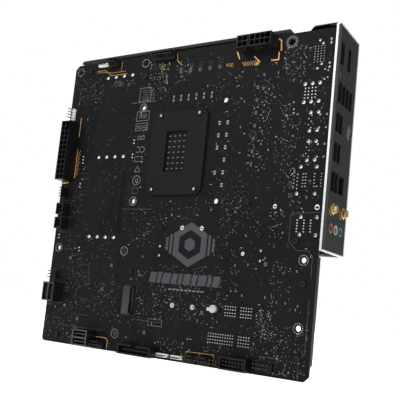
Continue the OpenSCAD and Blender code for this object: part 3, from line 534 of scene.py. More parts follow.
# bevel of each node
ROUNDED = {
    "io_cover": 0.6, "top_edge_cover": 0.3, "lower_cover": 0.35, "vrm_heatsink_side": 0.4, "vrm_heatsink_top": 0.4,
    "m2_heatsink": 0.4, "chipset_heatsink": 0.5, "socket_backplate": 0.35, "socket_body": 0.15, "load_frame": 0.12,
    "load_plate": 0.18, "pcie_x16_slot": 0.15, "pcie_short_slots": 0.15, "pcie_x16_shell": 0.12, "pcie_latch": 0.2,
    "m2_slot_back": 0.1, "m2_slot_front": 0.1, "battery_holder": 0.2, "coin_cell": 0.25, "atx_24pin": 0.12,
    "eps_8pin": 0.12, "eps_4pin": 0.12, "fan_headers": 0.1, "white_headers": 0.1, "pin_headers": 0.1,
    "usb3_header": 0.15, "usb_c_header": 0.15, "sata_stack_left": 0.3, "sata_stack_bottom": 0.3, "hdmi_port": 0.12,
    "display_port": 0.12, "usb_quad_stack": 0.12, "usb_stacks": 0.12, "lan_usb_stack": 0.12, "audio_jacks": 0.2,
    "bios_switch": 0.15, "bios_button": 0.15, "chokes": 0.7, "chips": 0.1, "wifi_module": 0.15,
    "backplate_screws": 0.2, "cover_screws": 0.15, "m2_standoff": 0.12, "m2_latch": 0.15, "io_shield_rim": 0.1,
}
ROUNDED.update({f"dimm_slot_{i}": 0.2 for i in range(1, 5)})
ROUNDED.update({f"dimm_latch_{i}": 0.25 for i in range(1, 5)})
# nodes whose looks differ from their slot's
OWN_FINISH = {"backplate_screws": "black_screws", "m2_latch": "latch_grey", "sata_stack_left": "gloss_plastic",
              "sata_stack_bottom": "gloss_plastic", "m2_slot_back": "gloss_plastic"}
for node, bevel in ROUNDED.items():
    rounded(node, bevel, OWN_FINISH.get(node))

for node, thing in frame["nodes"].items():
    thing.data.materials.clear()
    thing.data.materials.append(M.get(slot_of(node), M["part_grey"]))

# ---------------------------------------------------------------- solder joints

# marks and dots of a face keep off the nodes that stand on it
BACK_NODES = ("atx_24pin", "eps_8pin", "eps_4pin", "fan_headers", "white_headers", "pin_headers", "usb3_header",
              "sata_stack_left", "sata_stack_bottom", "socket_backplate", "m2_slot_back", "m2_standoff",
              "solder_joints", "surface_parts", "cover_screws")
OFF_THE_BOARD = ("pcb", "backplate_screws", "m2_latch", "io_shield", "io_shield_rim", "antenna_jacks",
                 "bios_button", "chipset_heatsink", "m2_heatsink", "io_cover", "top_edge_cover")
FRONT_NODES = tuple(n for n in frame["nodes"] if n not in BACK_NODES + OFF_THE_BOARD)
# the memory slots' joints are ovals
DIMM_JOINT_R, DIMM_JOINT_STRETCH = 1.3, 1.3
LEAD_SHARE, SMALLEST_WITH_TIP = 0.42, 0.75
joints, tips, joint_places = Shape(), Shape(), []
for low, high in solids("solder_joints"):
    centre = (low + high) / 2
    joint_places.append((Vector((centre.x, high.y, centre.z)), (high.x - low.x) / 2 / MM, (high.y - low.y) / MM))
# the second row of shell tabs of the two double USB ports
joint_places += [(at(8.3, v, BACK_Y), 1.25, 1.1) for v in (60.4, 73.4, 81.2, 94.4)]
for foot, r, tall in joint_places:
    wide = DIMM_JOINT_STRETCH if abs(r - DIMM_JOINT_R) < 0.01 else 1.0
    lead = r * LEAD_SHARE
    fillet = [(r, -0.02), (r, 0.06), (r * 0.93, 0.1), (r * 0.78, tall * 0.3), (lead * 1.35, tall * 0.62),
              (lead * 1.05, tall * 0.8), (lead * 0.6, tall * 0.93)]
    joints.lathe(foot, OUT_BACK, fillet, 16 if r < 1 else 22, stretch=wide)
    if r > SMALLEST_WITH_TIP:
        tips.lathe(foot, OUT_BACK, [(lead * 1.15, tall * 0.7), (lead * 1.05, tall * 0.97), (lead * 0.8, tall)], 14)
joints.piece("solder_fillets", "solder", "solder", replaces=("solder_joints",), smooth=60)
# the tips' dark colour is painted shade for the dark centres of the solder joints
tips.piece("lead_tips", "joint_tip_painted_shade", "solder")

# ---------------------------------------------------------------- small parts of the CAD, and capacitors

REGULATOR_SIDE, REGULATOR_LEADS, LEAD_LONG = 2.1, 4, 0.3
bodies, ends, squares, window_parts = Shape(), Shape(), Shape(), Shape()
plate_low, plate_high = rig.box("socket_backplate")
for low, high in solids("surface_parts"):
    size = (high - low) / MM
    if plate_low.x < low.x < plate_high.x and plate_low.z < low.z < plate_high.z:
        window_parts.solid_box(low, high)
        continue
    if min(size.x, size.z) > REGULATOR_SIDE:
        inset = Vector((0.25, 0, 0.25)) * MM
        squares.solid_box(low + inset, high - inset)
        for k in range(REGULATOR_LEADS):
            x = low.x + (0.35 + k * (size.x - 1.1) / (REGULATOR_LEADS - 1)) * MM
            for z in (low.z, high.z - LEAD_LONG * MM):
                corner = Vector((x, high.y - LEAD_LONG * MM, z))
                ends.solid_box(corner, corner + Vector((0.4, LEAD_LONG, LEAD_LONG)) * MM)
        continue
    # a passive: its body, and an end cap at each end of its longer side
    axis = 0 if size.x > size.z else 2
    cap = Vector((0, 0, 0))
    cap[axis] = max(size[axis] * 0.24, 0.2) * MM
    bodies.solid_box(low + cap, high - cap)
    low.y -= 0.05 * MM
    inner_high, inner_low = high.copy(), low.copy()
    inner_high[axis] = low[axis] + cap[axis]
    inner_low[axis] = high[axis] - cap[axis]
    ends.solid_box(low, inner_high)
    ends.solid_box(inner_low, high)
bodies.piece("passive_bodies", "part_tan", "small_parts", replaces=("surface_parts",), bevel=0.06)
window_parts.piece("window_parts", "part_dim", "small_parts", bevel=0.08)
squares.piece("small_regulators", "part_grey", "small_parts", bevel=0.12)
ends.piece("part_ends", "part_end", "solder", bevel=0.04)

cans, sleeves = Shape(), Shape()
for low, high in solids("capacitors"):
    r, tall = (high.x - low.x) / 2 / MM, (high.y - low.y) / MM
    foot = Vector(((low.x + high.x) / 2, low.y, (low.z + high.z) / 2))
    can = [(r * 0.96, 0.6), (r * 0.96, 0.9), (r * 0.9, 1.1), (r * 0.97, 1.4), (r, 1.6), (r, tall - 0.5),
           (r * 0.93, tall - 0.12), (r * 0.85, tall), (r * 0.8, tall - 0.08), (0.05, tall - 0.1)]
    cans.lathe(foot, -OUT_BACK, can, 32)
    sleeves.lathe(foot, -OUT_BACK, [(r * 1.0, 0.0), (r * 1.0, 0.62), (r * 0.5, 0.63)], 8)
    # the dark polarity mark on the can's top
    wedge = [Vector((foot.x + r * MM * 0.8 * math.cos(a), high.y + 0.02 * MM, foot.z + r * MM * 0.8 * math.sin(a)))
             for a in (0.6 + 0.2 * k for k in range(10))]
    sleeves.rings([wedge, [p - Vector((0, 0.25 * MM, 0)) for p in wedge]])
cans.piece("capacitor_cans", "capacitor_aluminium", "capacitor_aluminium", replaces=("capacitors",))
sleeves.piece("capacitor_bases", "sleeve_dark", "capacitor_aluminium")

# ---------------------------------------------------------------- pins and contacts

PITCH, CELL, CELL_WALL = 2.54, 4.2, 0.6
POWER_PIN_Y, POWER_PIN_HALF = (-1.45, -9.4), 0.54
PIN_FOOT_Y, PIN_HALF, BOXED_SIDE, BOX_WALLS = -2.0, 0.35, 8, 2.1
pins, power_pins = Shape(), Shape()


def square_pin(shape, u, v, y_foot, y_tip, half):
    shape.box((u - half, u + half), (v - half, v + half), (y_foot, y_tip - 0.03))


for node, cols, rows in (("atx_24pin", 2, 12), ("eps_8pin", 4, 2), ("eps_4pin", 2, 2)):
    low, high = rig.box(node)
    u_far, v_top = board_uv(Vector((low.x, 0, high.z)))
    for i in range(cols):
        for j in range(rows):
            u, v = u_far - CELL_WALL - CELL * (i + 0.5), v_top + CELL_WALL + CELL * (j + 0.5)
            square_pin(power_pins, u, v, *POWER_PIN_Y, POWER_PIN_HALF)
for node in ("fan_headers", "white_headers", "pin_headers"):
    for low, high in solids(node):
        u, v = board_uv((low + high) / 2)
        du, dv = (high.x - low.x) / MM, (high.z - low.z) / MM
        boxed = min(du, dv) > BOXED_SIDE
        if node == "fan_headers":
            cols, rows = (4, 1) if du > dv else (1, 4)
        else:
            wall = BOX_WALLS if boxed else -0.3
            cols, rows = int((du - wall) / PITCH), int((dv - wall) / PITCH)
        for i in range(cols):
            for j in range(rows):
                square_pin(pins, u + (i - (cols - 1) / 2) * PITCH, v + (j - (rows - 1) / 2) * PITCH, PIN_FOOT_Y,
                           low.y / MM + boxed, PIN_HALF)
low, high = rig.box("usb3_header")
u, v = board_uv((low + high) / 2)
for i in range(10):
    for side in (-0.75, 0.75):
        u_pin, v_pin = u - 11.3 + 2.4 * i, v + side - 0.15
        pins.box((u_pin - 0.2, u_pin + 0.2), (v_pin - 0.2, v_pin + 0.2), (-1.6, -7.0))
# the pins' dark gold is painted shade of the headers' boxed cells
pins.piece("gold_pins", "pin_gold_painted_shade", "gold")
# the power pins' dark tin is painted shade of the connectors' cells
power_pins.piece("power_pins", "pin_tin_painted_shade", "gold")

DIMM_PINS, DIMM_PITCH, DIMM_FIRST, DIMM_KEY = 144, 0.85, 11.4, (81.4, 2.6)
CARD_PITCH, CARD_FIRST, CARD_KEY = 1.0, 2.2, (12.6, 15.4)
LAND_PITCH, LAND_COLS, LAND_ROWS, LAND_GAP = 0.98, 36, 44, (6.6, 8.6)
contacts = Shape()
for i in range(1, 5):
    low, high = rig.box(f"dimm_slot_{i}")
    u, v_top = board_uv(Vector(((low.x + high.x) / 2, 0, high.z)))
    for k in range(DIMM_PINS):
        v = v_top + DIMM_FIRST + k * DIMM_PITCH
        if abs(v - DIMM_KEY[0]) > DIMM_KEY[1]:
            for side in (-0.62, 0.62):
                contacts.box((u + side - 0.12, u + side + 0.12), (v, v + 0.45), (FRONT_Y + 3.0, FRONT_Y + 6.9))
# near end, middle line and length of each card slot
low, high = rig.box("pcie_x16_slot")
card_slots = [(*board_uv(Vector((high.x, 0, (low.z + high.z) / 2))), 89.0)]
for low, high in solids("pcie_short_slots"):
    card_slots.append((*board_uv(Vector((high.x, 0, (low.z + high.z) / 2))), (high.x - low.x) / MM))
for u_near, v_mid, length in card_slots:
    for k in range(int((length - 3) / CARD_PITCH)):
        u = u_near + CARD_FIRST + k * CARD_PITCH
        if not CARD_KEY[0] < u - u_near < CARD_KEY[1]:
            for v in (v_mid - 0.75, v_mid + 0.75):
                contacts.box((u, u + 0.45), (v - 0.1, v + 0.1), (FRONT_Y + 4, FRONT_Y + 10.6))
# the processor's lands: sprung tips that lean down the board
LAND_FOOT = ((-0.16, -0.3), (0.16, -0.3), (0.16, 0.3), (-0.16, 0.3))
LAND_TIP = ((-0.1, 0.08), (0.1, 0.08), (0.1, 0.28), (-0.1, 0.28))
socket_low, socket_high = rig.box("socket_body")
socket_u, socket_v = board_uv((socket_low + socket_high) / 2)
for i in range(LAND_COLS):
    for j in range(LAND_ROWS):
        du, dv = (i - (LAND_COLS - 1) / 2) * LAND_PITCH, (j - (LAND_ROWS - 1) / 2) * LAND_PITCH
        if abs(du) > LAND_GAP[0] or abs(dv) > LAND_GAP[1]:
            u, v = socket_u + du, socket_v + dv
            contacts.rings([[at(u + a, v + b, FRONT_Y + 1.35) for a, b in LAND_FOOT],
                            [at(u + a, v + b, FRONT_Y + 1.75) for a, b in LAND_TIP]])
contacts.piece("slot_contacts", "gold", "gold")

# ---------------------------------------------------------------- antenna and sound jacks

THREAD_START, THREAD_PITCH, BORE_FLOOR = 7.6, 0.6, 6.6
threads, nuts, cores, antenna_pins = Shape(), Shape(), Shape(), Shape()
for low, high in solids("antenna_jacks"):
    foot = Vector((low.x, (low.y + high.y) / 2, (low.z + high.z) / 2))
    reach = (high.x - low.x) / MM
    ridges = [(2.6, 0.0), (2.95, 0.3)]
    start = THREAD_START
    while start < reach - 0.8:
        ridges += [(2.68, start), (3.02, start + 0.24), (3.02, start + 0.36), (2.68, start + 0.58)]
        start += THREAD_PITCH
    ridges += [(2.7, reach - 0.15), (2.55, reach), (2.25, reach), (2.25, BORE_FLOOR), (0.3, BORE_FLOOR)]
    threads.lathe(foot, REAR, ridges, 40)
    for r, near, far in ((3.9, 0.2, 4.2), (4.15, 6.0, 7.8)):
        nuts.lathe(foot, REAR, [(r * 0.9, near), (r, near + 0.25), (r, far - 0.25), (r * 0.9, far)], 6)
    nuts.lathe(foot, REAR, [(4.15, 5.55), (4.15, 5.95), (3.0, 5.96), (3.0, 5.54)], 40, loop=True)
    cores.lathe(foot, REAR, [(1.9, 6.5), (1.9, reach - 1.3), (0.65, reach - 1.29), (0.65, 6.5)], 28, loop=True)
    antenna_pins.lathe(foot, REAR, [(0.5, 6.5), (0.5, reach - 1.0), (0.3, reach - 0.7)], 16)
threads.piece("antenna_threads", "gold", "gold", replaces=("antenna_jacks",))
nuts.piece("antenna_nuts", "gold", "gold", bevel=0.12)
cores.piece("antenna_insulators", "insulator", "white_plastic")
antenna_pins.piece("antenna_pins", "gold", "gold")

shield_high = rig.box("io_shield")[1]
JACK_FIRST_Y, JACK_PITCH = 8, 9.2
JACK_RING = [(2.2, -2.4), (3.1, -2.4), (3.1, 0.02), (3.5, 0.04), (3.5, 0.25), (3.3, 0.4), (2.5, 0.4), (2.2, 0.2)]
jack_low, jack_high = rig.box("audio_jacks")
jack_z = (jack_low.z + jack_high.z) / 2
for k, tint in enumerate(("jack_red", "jack_green", "jack_blue")):
    ring = Shape()
    foot = Vector((shield_high.x, (JACK_FIRST_Y + JACK_PITCH * k) * MM, jack_z))
    ring.lathe(foot, REAR, JACK_RING, 40, loop=True)
    ring.piece(tint, tint, "grey_plastic")

# ---------------------------------------------------------------- gold contacts in the ports

CONTACTS_PER_PORT, CONTACT_SPACING = 4, 10.0 / 4.4
# v of each stack of ports, y of its first port, distance and count of its ports
PORT_STACKS = ((45.9, 5.9, 7.1, 4), (67.0, 5.4, 6.6, 2), (87.8, 5.4, 6.6, 2), (108.6, 4.9, 6.6, 2))
port_contacts = Shape()
for v, first_y, distance, count in PORT_STACKS:
    for i in range(count):
        y = first_y + distance * i
        for k in range(CONTACTS_PER_PORT):
            z = TOP_Z - v * MM + (k - (CONTACTS_PER_PORT - 1) / 2) * CONTACT_SPACING * MM
            port_contacts.solid_box(Vector((shield_high.x - 9.0 * MM, (y + 0.86) * MM, z - 0.5 * MM)),
                              Vector((shield_high.x - 3.0 * MM, (y + 1.0) * MM, z + 0.5 * MM)))
port_contacts.piece("port_contacts", "gold", "gold")

# bright bottoms of the backing plate's screws
spots = Shape()
for low, high in solids("backplate_screws"):
    centre = Vector(((low.x + high.x) / 2, low.y + 0.7 * MM, (low.z + high.z) / 2))
    spots.lathe(centre, OUT_BACK, [(1.25, 0.0), (1.2, 0.42), (0.8, 0.62), (0.1, 0.66)], 24)
spots.piece("backplate_screw_centres", "screw_steel", "screw_steel")

# ---------------------------------------------------------------- near strip of the shield's box

rim_low, rim_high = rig.box("io_shield_rim")
STRIP_END_GAP = 0.8 * MM
strip = Shape()
strip.solid_box(Vector((shield_high.x - 1.4 * MM, rim_low.y - 0.04 * MM, rim_low.z + STRIP_END_GAP)),
                Vector((shield_high.x + 0.45 * MM, rim_low.y + 0.84 * MM, rim_high.z - STRIP_END_GAP)))
strip.piece("rim_shadow_strip", "rim_shade", "shield_bright", bevel=0.03)


# ---------------------------------------------------------------- holes of the board

LARGEST_HOLE_R, CHASSIS_HOLE_R, FEWEST_SIDES = 6, 2.2, 7


def board_holes():
    """Centre (u, v) and radius of each round hole, from the rings of edges round the back face."""
    mesh = bmesh.new()
    mesh.from_mesh(frame["nodes"]["pcb"].data)
    bmesh.ops.remove_doubles(mesh, verts=mesh.verts, dist=SAME_POINT_M)
    rim, holes = {}, []
    for edge in mesh.edges:
        sides = [abs(face.normal.y) > 0.9 for face in edge.link_faces]
        if any(sides) and not all(sides) and all(abs(v.co.y - board_low.y) < 0.00001 for v in edge.verts):
            a, b = edge.verts
            rim.setdefault(a.index, []).append(b)
            rim.setdefault(b.index, []).append(a)
    mesh.verts.ensure_lookup_table()
    left = set(rim)
    while left:
        stack, ring = [min(left)], []
        while stack:
            i = stack.pop()
            if i in left:
                left.discard(i)
                ring.append(mesh.verts[i].co.copy())
                stack += [v.index for v in rim[i]]
        middle = Vector((min(p[k] for p in ring) + max(p[k] for p in ring)) / 2 for k in range(3))
        radii = [(p - middle).length / MM for p in ring]
        if len(ring) > FEWEST_SIDES and max(radii) - min(radii) < 0.1 and max(radii) < LARGEST_HOLE_R:
            holes.append((*board_uv(middle), max(radii)))
    mesh.free()
    return sorted(holes)


HOLES = board_holes()
# the chassis holes stand near the front and rear edges, the cooler's holes between them
CHASSIS = [(u, v, r) for u, v, r in HOLES if r < CHASSIS_HOLE_R and not 34 <= u <= 160]


def taken_boxes(names):
    """(u0, v0, u1, v1) of each separate solid of some nodes."""
    found = []
    for name in names:
        for low, high in solids(name):
            (u0, v1), (u1, v0) = board_uv(Vector((high.x, 0, low.z))), board_uv(Vector((low.x, 0, high.z)))
            found.append((u0, v0, u1, v1))
    return found


ROOM_CELL, BOARD_MARGIN, HOLE_MARGIN = 4, 1.2, 0.9


class Room:
    """What is already on one face of the board, so that printed marks and dots keep off it."""

    def __init__(self, boxes):
        self.cells = {}
        for box in boxes:
            self.fill(box)

    def fill(self, box, gap=0.35):
        u0, v0, u1, v1 = box[0] - gap, box[1] - gap, box[2] + gap, box[3] + gap
        for i in range(int(u0 // ROOM_CELL), int(u1 // ROOM_CELL) + 1):
            for j in range(int(v0 // ROOM_CELL), int(v1 // ROOM_CELL) + 1):
                self.cells.setdefault((i, j), []).append((u0, v0, u1, v1))

    def free(self, u, v, reach=0.3):
        inside = (BOARD_MARGIN < u < BOARD_W - BOARD_MARGIN) and (BOARD_MARGIN < v < BOARD_H - BOARD_MARGIN)
        if not inside or any(math.dist((u, v), hole[:2]) < hole[2] + HOLE_MARGIN + reach for hole in HOLES):
            return False
        return not any(u0 - reach < u < u1 + reach and v0 - reach < v < v1 + reach
                       for u0, v0, u1, v1 in self.cells.get((int(u // ROOM_CELL), int(v // ROOM_CELL)), ()))


back_room = Room(taken_boxes(BACK_NODES))
front_room = Room(taken_boxes(FRONT_NODES))

# ---------------------------------------------------------------- via dots

VIA_SEED, VIA_GRID, VIA_THICK, TRIES_PER_VIA = 5, 0.55, 0.03, 12
# a region's u0, u1, v0, v1, its number of dots, and 1 where they are bright
VIAS = (
    (208, 236, 14, 37, 95, 0), (174, 200, 19, 25, 45, 1), (236, 242, 3, 25, 6, 0), (140, 160, 8, 40, 140, 1),
    (118, 133, 9, 27, 36, 1), (20, 38, 10, 38, 85, 1), (44, 62, 32, 100, 120, 1), (24, 36, 52, 70, 44, 1),
    (22, 40, 68, 106, 66, 1), (60, 80, 116, 150, 72, 0), (22, 30, 100, 122, 24, 1), (12, 25, 118, 131, 24, 1),
    (44, 56, 125, 150, 18, 0), (26, 38, 128, 154, 32, 1), (55, 82, 154, 167, 24, 0), (213, 230, 98, 140, 50, 0),
    (175, 232, 152, 172, 60, 0), (198, 224, 168, 194, 70, 0), (194, 224, 192, 214, 64, 0),
    (170, 192, 186, 217, 70, 0), (206, 242, 208, 242, 80, 0), (120, 152, 176, 214, 80, 0),
    (72, 130, 172, 214, 280, 0), (98, 122, 228, 238, 40, 0), (150, 172, 212, 222, 16, 0),
    (125, 162, 130, 160, 64, 0), (100, 130, 116, 141, 34, 0), (18, 34, 168, 202, 48, 1),
    (58, 74, 170, 202, 36, 0), (29, 42, 199, 220, 80, 1), (3, 30, 208, 242, 130, 0), (58, 82, 222, 234, 36, 0),
    (20, 48, 212, 234, 42, 0), (150, 240, 60, 150, 50, 0), (36, 110, 22, 60, 70, 0), (2, 22, 10, 120, 60, 1),
    (130, 170, 200, 240, 30, 0), (60, 110, 100, 130, 36, 0),
)


def polygon(u, v, r, sides, turn=0.0):
    return [(u + r * math.cos(turn + 2 * math.pi * i / sides), v + r * math.sin(turn + 2 * math.pi * i / sides))
            for i in range(sides)]


def dot(shape, u, v, y, r):
    shape.prism(polygon(u, v, r, 6), y, y + (VIA_THICK if y > 0 else -VIA_THICK))


rng = random.Random(VIA_SEED)
vias, front_vias = (Shape(), Shape()), Shape()
placed = Room([])
for u0, u1, v0, v1, count, bright in VIAS:
    done = tries = 0
    while done < count and tries < count * TRIES_PER_VIA:
        tries += 1
        u, v = (round(rng.uniform(*span) / VIA_GRID) * VIA_GRID for span in ((u0, u1), (v0, v1)))
        if placed.free(u, v, 0.1):
            placed.fill((u, v, u, v), 0.42)
            done += 1
            if back_room.free(u, v):
                dot(vias[bright], u, v, BACK_Y, rng.uniform(0.15, 0.26))
            if front_room.free(u, v):
                dot(front_vias, u, v, FRONT_Y, 0.26)
vias[0].piece("via_pads", "via_tin", "solder")
vias[1].piece("via_pads_bright", "plated", "solder")
front_vias.piece("via_pads_front", "via_tin", "solder")

# ---------------------------------------------------------------- rings round the holes

DOTS_PER_HOLE, DOT_CIRCLE_R = 16, 3.4
hole_rings, hole_dots = Shape(), Shape()
for u, v, r in HOLES:
    for y, out in ((BACK_Y, -1), (FRONT_Y, 1)):
        collar = [(r + 0.02, 0.0), (r + 0.02, 0.035), (r + 0.42, 0.035), (r + 0.42, 0)]
        hole_rings.lathe(at(u, v, y), Vector((0, out, 0)), collar, 32, loop=True)
        if (u, v, r) in CHASSIS:
            for dot_u, dot_v in polygon(u, v, DOT_CIRCLE_R, DOTS_PER_HOLE, math.pi / DOTS_PER_HOLE):
                dot(hole_dots, dot_u, dot_v, y, 0.3)
hole_rings.piece("hole_rings", "copper_under_mask", "solder")
hole_dots.piece("hole_dots", "plated", "solder")

# ---------------------------------------------------------------- copper under the mask

TRACE_WIDTH, TRACE_THICK = 0.3, 0.012
traces = Shape()
# the middle line of each bundle of tracks, its number of tracks and their pitch
BUNDLES = (
    (((150, 62), (160, 62), (172, 74), (172, 150)), 12, 1.1),
    (((150, 96), (158, 96), (168, 106), (168, 150)), 6, 1.2),
    (((205, 20), (205, 60), (212, 67), (212, 96)), 7, 1.3),
    (((226, 30), (226, 44), (222, 48), (222, 110)), 5, 1.4),
    (((176, 98), (176, 150), (182, 156), (182, 186)), 9, 1.2),
    (((116, 122), (116, 134), (108, 142), (108, 152)), 8, 1.3),
    (((96, 98), (88, 98), (74, 112), (74, 152)), 7, 1.3),
    (((48, 104), (48, 118), (42, 124), (42, 158)), 6, 1.3),
    (((30, 40), (30, 52), (36, 58), (36, 70), (30, 76), (30, 100)), 5, 1.4),
    (((52, 24), (90, 24), (96, 30), (96, 38)), 5, 1.3),
    (((200, 176), (200, 190), (190, 200), (190, 224)), 8, 1.2),
    (((228, 150), (228, 176), (222, 182), (222, 190)), 5, 1.2),
    (((150, 170), (150, 196), (140, 206), (140, 226)), 8, 1.1),
    (((128, 206), (128, 222), (120, 230), (96, 230)), 6, 1.2),
    (((60, 206), (60, 222), (52, 230), (30, 230)), 6, 1.2),
    (((24, 170), (24, 196), (18, 202), (18, 226)), 5, 1.3),
    (((90, 196), (74, 196), (66, 204), (66, 220)), 7, 1.1),
    (((160, 150), (178, 150), (186, 158), (204, 158)), 6, 1.2),
)
for path, count, pitch in BUNDLES:
    for k in range(count):
        track = sideways(path, (k - (count - 1) / 2) * pitch, False)
        for y0, y1 in ((BACK_Y, BACK_Y - TRACE_THICK), (FRONT_Y, FRONT_Y + TRACE_THICK)):
            traces.ribbon(track, TRACE_WIDTH, y0, y1)
traces.piece("traces", "copper_under_mask", "pcb_black")

# ---------------------------------------------------------------- printed marks

PRINT_THICK = 0.035
prints = {name: Shape() for name in ("print_grey", "print_faint", "print_orange", "print_mark")}


def line(kind, path, width=0.3, closed=False, y=BACK_Y):
    prints[kind].ribbon(path, width, y, y + (PRINT_THICK if y > 0 else -PRINT_THICK), closed)


def frame_box(kind, u0, v0, u1, v1, width=0.3, y=BACK_Y):
    line(kind, ((u0, v0), (u1, v0), (u1, v1), (u0, v1)), width, True, y)


def solid(kind, outline):
    prints[kind].prism(outline, BACK_Y, BACK_Y - PRINT_THICK)


# orange lines beside the power connectors and headers, and their widths
for path, width in (
    (((230.4, 49), (230.2, 66)), 0.6), (((230, 77), (229.8, 103)), 0.5),
    (((218, 7.6), (209, 7.6), (201.4, 13.2), (184, 13.2)), 0.3),
    (((218, 9.2), (210, 9.2), (201, 10.8), (186, 10.8)), 0.2), (((190.8, 2), (190.8, 10.8)), 0.25),
    (((78, 8), (75.4, 14)), 0.9), (((63, 13.4), (57.6, 18.6)), 0.9), (((46, 1.2), (41.6, 4), (41, 12)), 1.0),
    (((42.6, 12.6), (42.6, 18.4), (48, 18.4)), 1.0), (((133.6, 2), (133, 8), (128, 12.6)), 0.4),
    (((184, 234.3), (174, 234.3), (171.6, 236), (171.8, 242.6)), 0.4),
    (((97, 237), (96.4, 235.4), (73, 235.0), (72, 241)), 0.35), (((84.6, 234.6), (84.6, 236.8)), 0.4),
    (((243, 107.2), (236, 106.6)), 0.9), (((243.2, 70), (243.2, 104)), 0.4),
):
    line("print_orange", path, width)
for k in range(7):
    line("print_orange", ((229.4, 102 - 3.2 * k), (226, 97.6 - 3.2 * k)), 0.32)
for k in range(8):
    line("print_orange", ((72.6 - 1.75 * k, 16.8), (70.4 - 1.75 * k, 20.2)), 0.34)
solid("print_orange", ((59.4, 17.2), (62.6, 20.4), (59.0, 20.6)))
for k in range(3):
    frame_box("print_orange", 80.8 + 2.2 * k, 16.6, 82.0 + 2.2 * k, 19.4 - 0.6 * k, 0.18)
for spoke in zip(polygon(147, 12.8, 0.8, 5), polygon(147, 12.8, 2.8, 5)):
    line("print_orange", spoke, 0.3)

# a plain hexagon mark with bars, and rows of blank slanted bars below it
MARK_U, MARK_V = 103, 156.5
line("print_mark", polygon(MARK_U, MARK_V, 14.2, 6, math.pi / 6), 5.0, True)
solid("print_mark", polygon(MARK_U, MARK_V, 5.2, 6, math.pi / 6))
for side in (-1, 1):
    for k in range(2):
        u, v0, v1 = MARK_U + side * (17.2 + 3.6 * k), 149 + 2.4 * k, 164 - 2.4 * k
        solid("print_mark", ((u - 1.1, v0), (u + 1.1, v0), (u + 1.1, v1), (u - 1.1, v1)))
u = 136.0
for wide in (6.2, 3.4, 7.4, 5.0, 3.0, 6.6, 4.4, 7.0, 3.2, 5.6):
    solid("print_mark", ((u, 179), (u - wide, 179), (u - wide + 1.4, 187), (u + 1.4, 187)))
    u -= wide + 1.2
for k in range(9):
    u = 118 - 3.6 * k
    solid("print_grey", ((u, 190.6), (u - 2.6, 190.6), (u - 2.6, 191.6), (u, 191.6)))

# faint outlines of the areas that are kept free, and an empty label field
frame_box("print_grey", 121, 215, 134, 220, 0.28)
for path in (
    ((0.8, 131), (13, 131.5), (22.3, 132.5), (22.3, 151), (16, 157.5), (7, 157.5), (4, 161), (4, 176)),
    ((4, 190), (4, 226), (8, 230), (8, 241)), ((178, 228.8), (222, 228.8)), ((195, 218.5), (207, 218.5)),
    ((121, 217), (149, 217)), ((142, 129.7), (172, 129.7)), ((213, 243), (206, 236), (206, 229)),
    ((24, 242), (19, 240.5), (17.2, 236), (19, 232.2), (25, 231.2), (38, 231.2)), ((240, 150.2), (228, 150.2)),
    ((228, 210), (228, 196), (231, 193)),
):
    line("print_faint", path, 0.32)
# a column of plain outlines beside the socket
line("print_grey", ((150, 40.2), (175, 40.2)), 0.35)
for box in ((156, 28, 167.5, 39.2), (155.5, 48.2, 168, 56), (156, 58.4, 168, 60.6), (156, 62, 161, 64.2),
            (163, 62, 168, 64.2), (158, 69, 160.6, 72), (162, 69, 164.6, 72)):
    frame_box("print_grey", *box, 0.4)
for k in range(5):
    line("print_grey", ((158.5 + 1.6 * k, 50.4), (158.5 + 1.6 * k, 54)), 0.5)
    line("print_faint", ((158, 30.4 + 1.9 * k), (165.6 - (k % 3), 30.4 + 1.9 * k)), 0.6)
for u in (158.8, 163.4):
    arc = [(u + 2.4 * math.cos(a), 80.4 + 2.4 * math.sin(a)) for a in (0.9 + 0.44 * k for k in range(11))]
    line("print_grey", arc, 0.45)
frame_box("print_grey", 157.6, 86.4, 165.4, 90.4, 0.4)
line("print_grey", polygon(161.4, 97.4, 3.2, 3, -math.pi / 2), 0.4, True)
line("print_grey", polygon(161, 106, 3.8, 24), 0.45, True)
line("print_grey", polygon(161, 106, 1.5, 6), 0.4, True)
frame_box("print_faint", 158.6, 112.4, 164, 116.8, 0.4)
# a circle round the chassis hole beside the processor power connectors
line("print_grey", polygon(33.0, 6.35, 4.5, 32), 0.4, True)

# plated rings that stand alone, and four with a brass ring round them
pads, inserts = Shape(), Shape()
for u, v, r in ((35, 127, 1.5), (3.5, 127.5, 1.8), (57, 161.5, 1.3)):
    ring = [(r, 0), (r, 0.2), (r - 0.3, 0.3), (r - 0.75, 0.06), (r - 0.75, 0)]
    pads.lathe(at(u, v, BACK_Y), OUT_BACK, ring, 28, loop=True)
PAD_RING = [(1.5, 0), (1.5, 0.25), (1.15, 0.35), (0.75, 0.06), (0.75, 0)]
INSERT_RING = [(2.3, 0), (2.3, 0.12), (1.6, 0.14), (1.6, 0)]
for u, v in ((111.3, 144), (93.7, 144), (113, 203), (95, 203)):
    pads.lathe(at(u, v, BACK_Y), OUT_BACK, PAD_RING, 28, loop=True)
    inserts.lathe(at(u, v, BACK_Y), OUT_BACK, INSERT_RING, 28, loop=True)
pads.piece("ring_pads", "solder", "solder")
inserts.piece("insert_rings", "brass_ring", "brass")

# outlines of parts that aren't fitted, and of the connectors that stand clear of the edges
for u in (92, 101, 110, 119, 128):
    frame_box("print_faint", u - 1.7, 16.4, u + 1.7, 19.6, 0.22)
    frame_box("print_faint", u - 2, 12.2, u + 1, 14.8, 0.2)
OUTLINED = (("fan_headers", 0.8), ("pin_headers", 0.9), ("sata_stack_left", 0.9), ("sata_stack_bottom", 0.9),
            ("usb3_header", 0.9), ("m2_slot_back", 1.0), ("eps_8pin", 1.0))
for node, margin in OUTLINED:
    clear = margin + 0.6
    for u0, v0, u1, v1 in taken_boxes((node,)):
        if v0 > clear and v1 < BOARD_H - clear and u0 > 3 and u1 < BOARD_W - clear:
            frame_box("print_faint", u0 - margin, v0 - margin, u1 + margin, v1 + margin, 0.2)

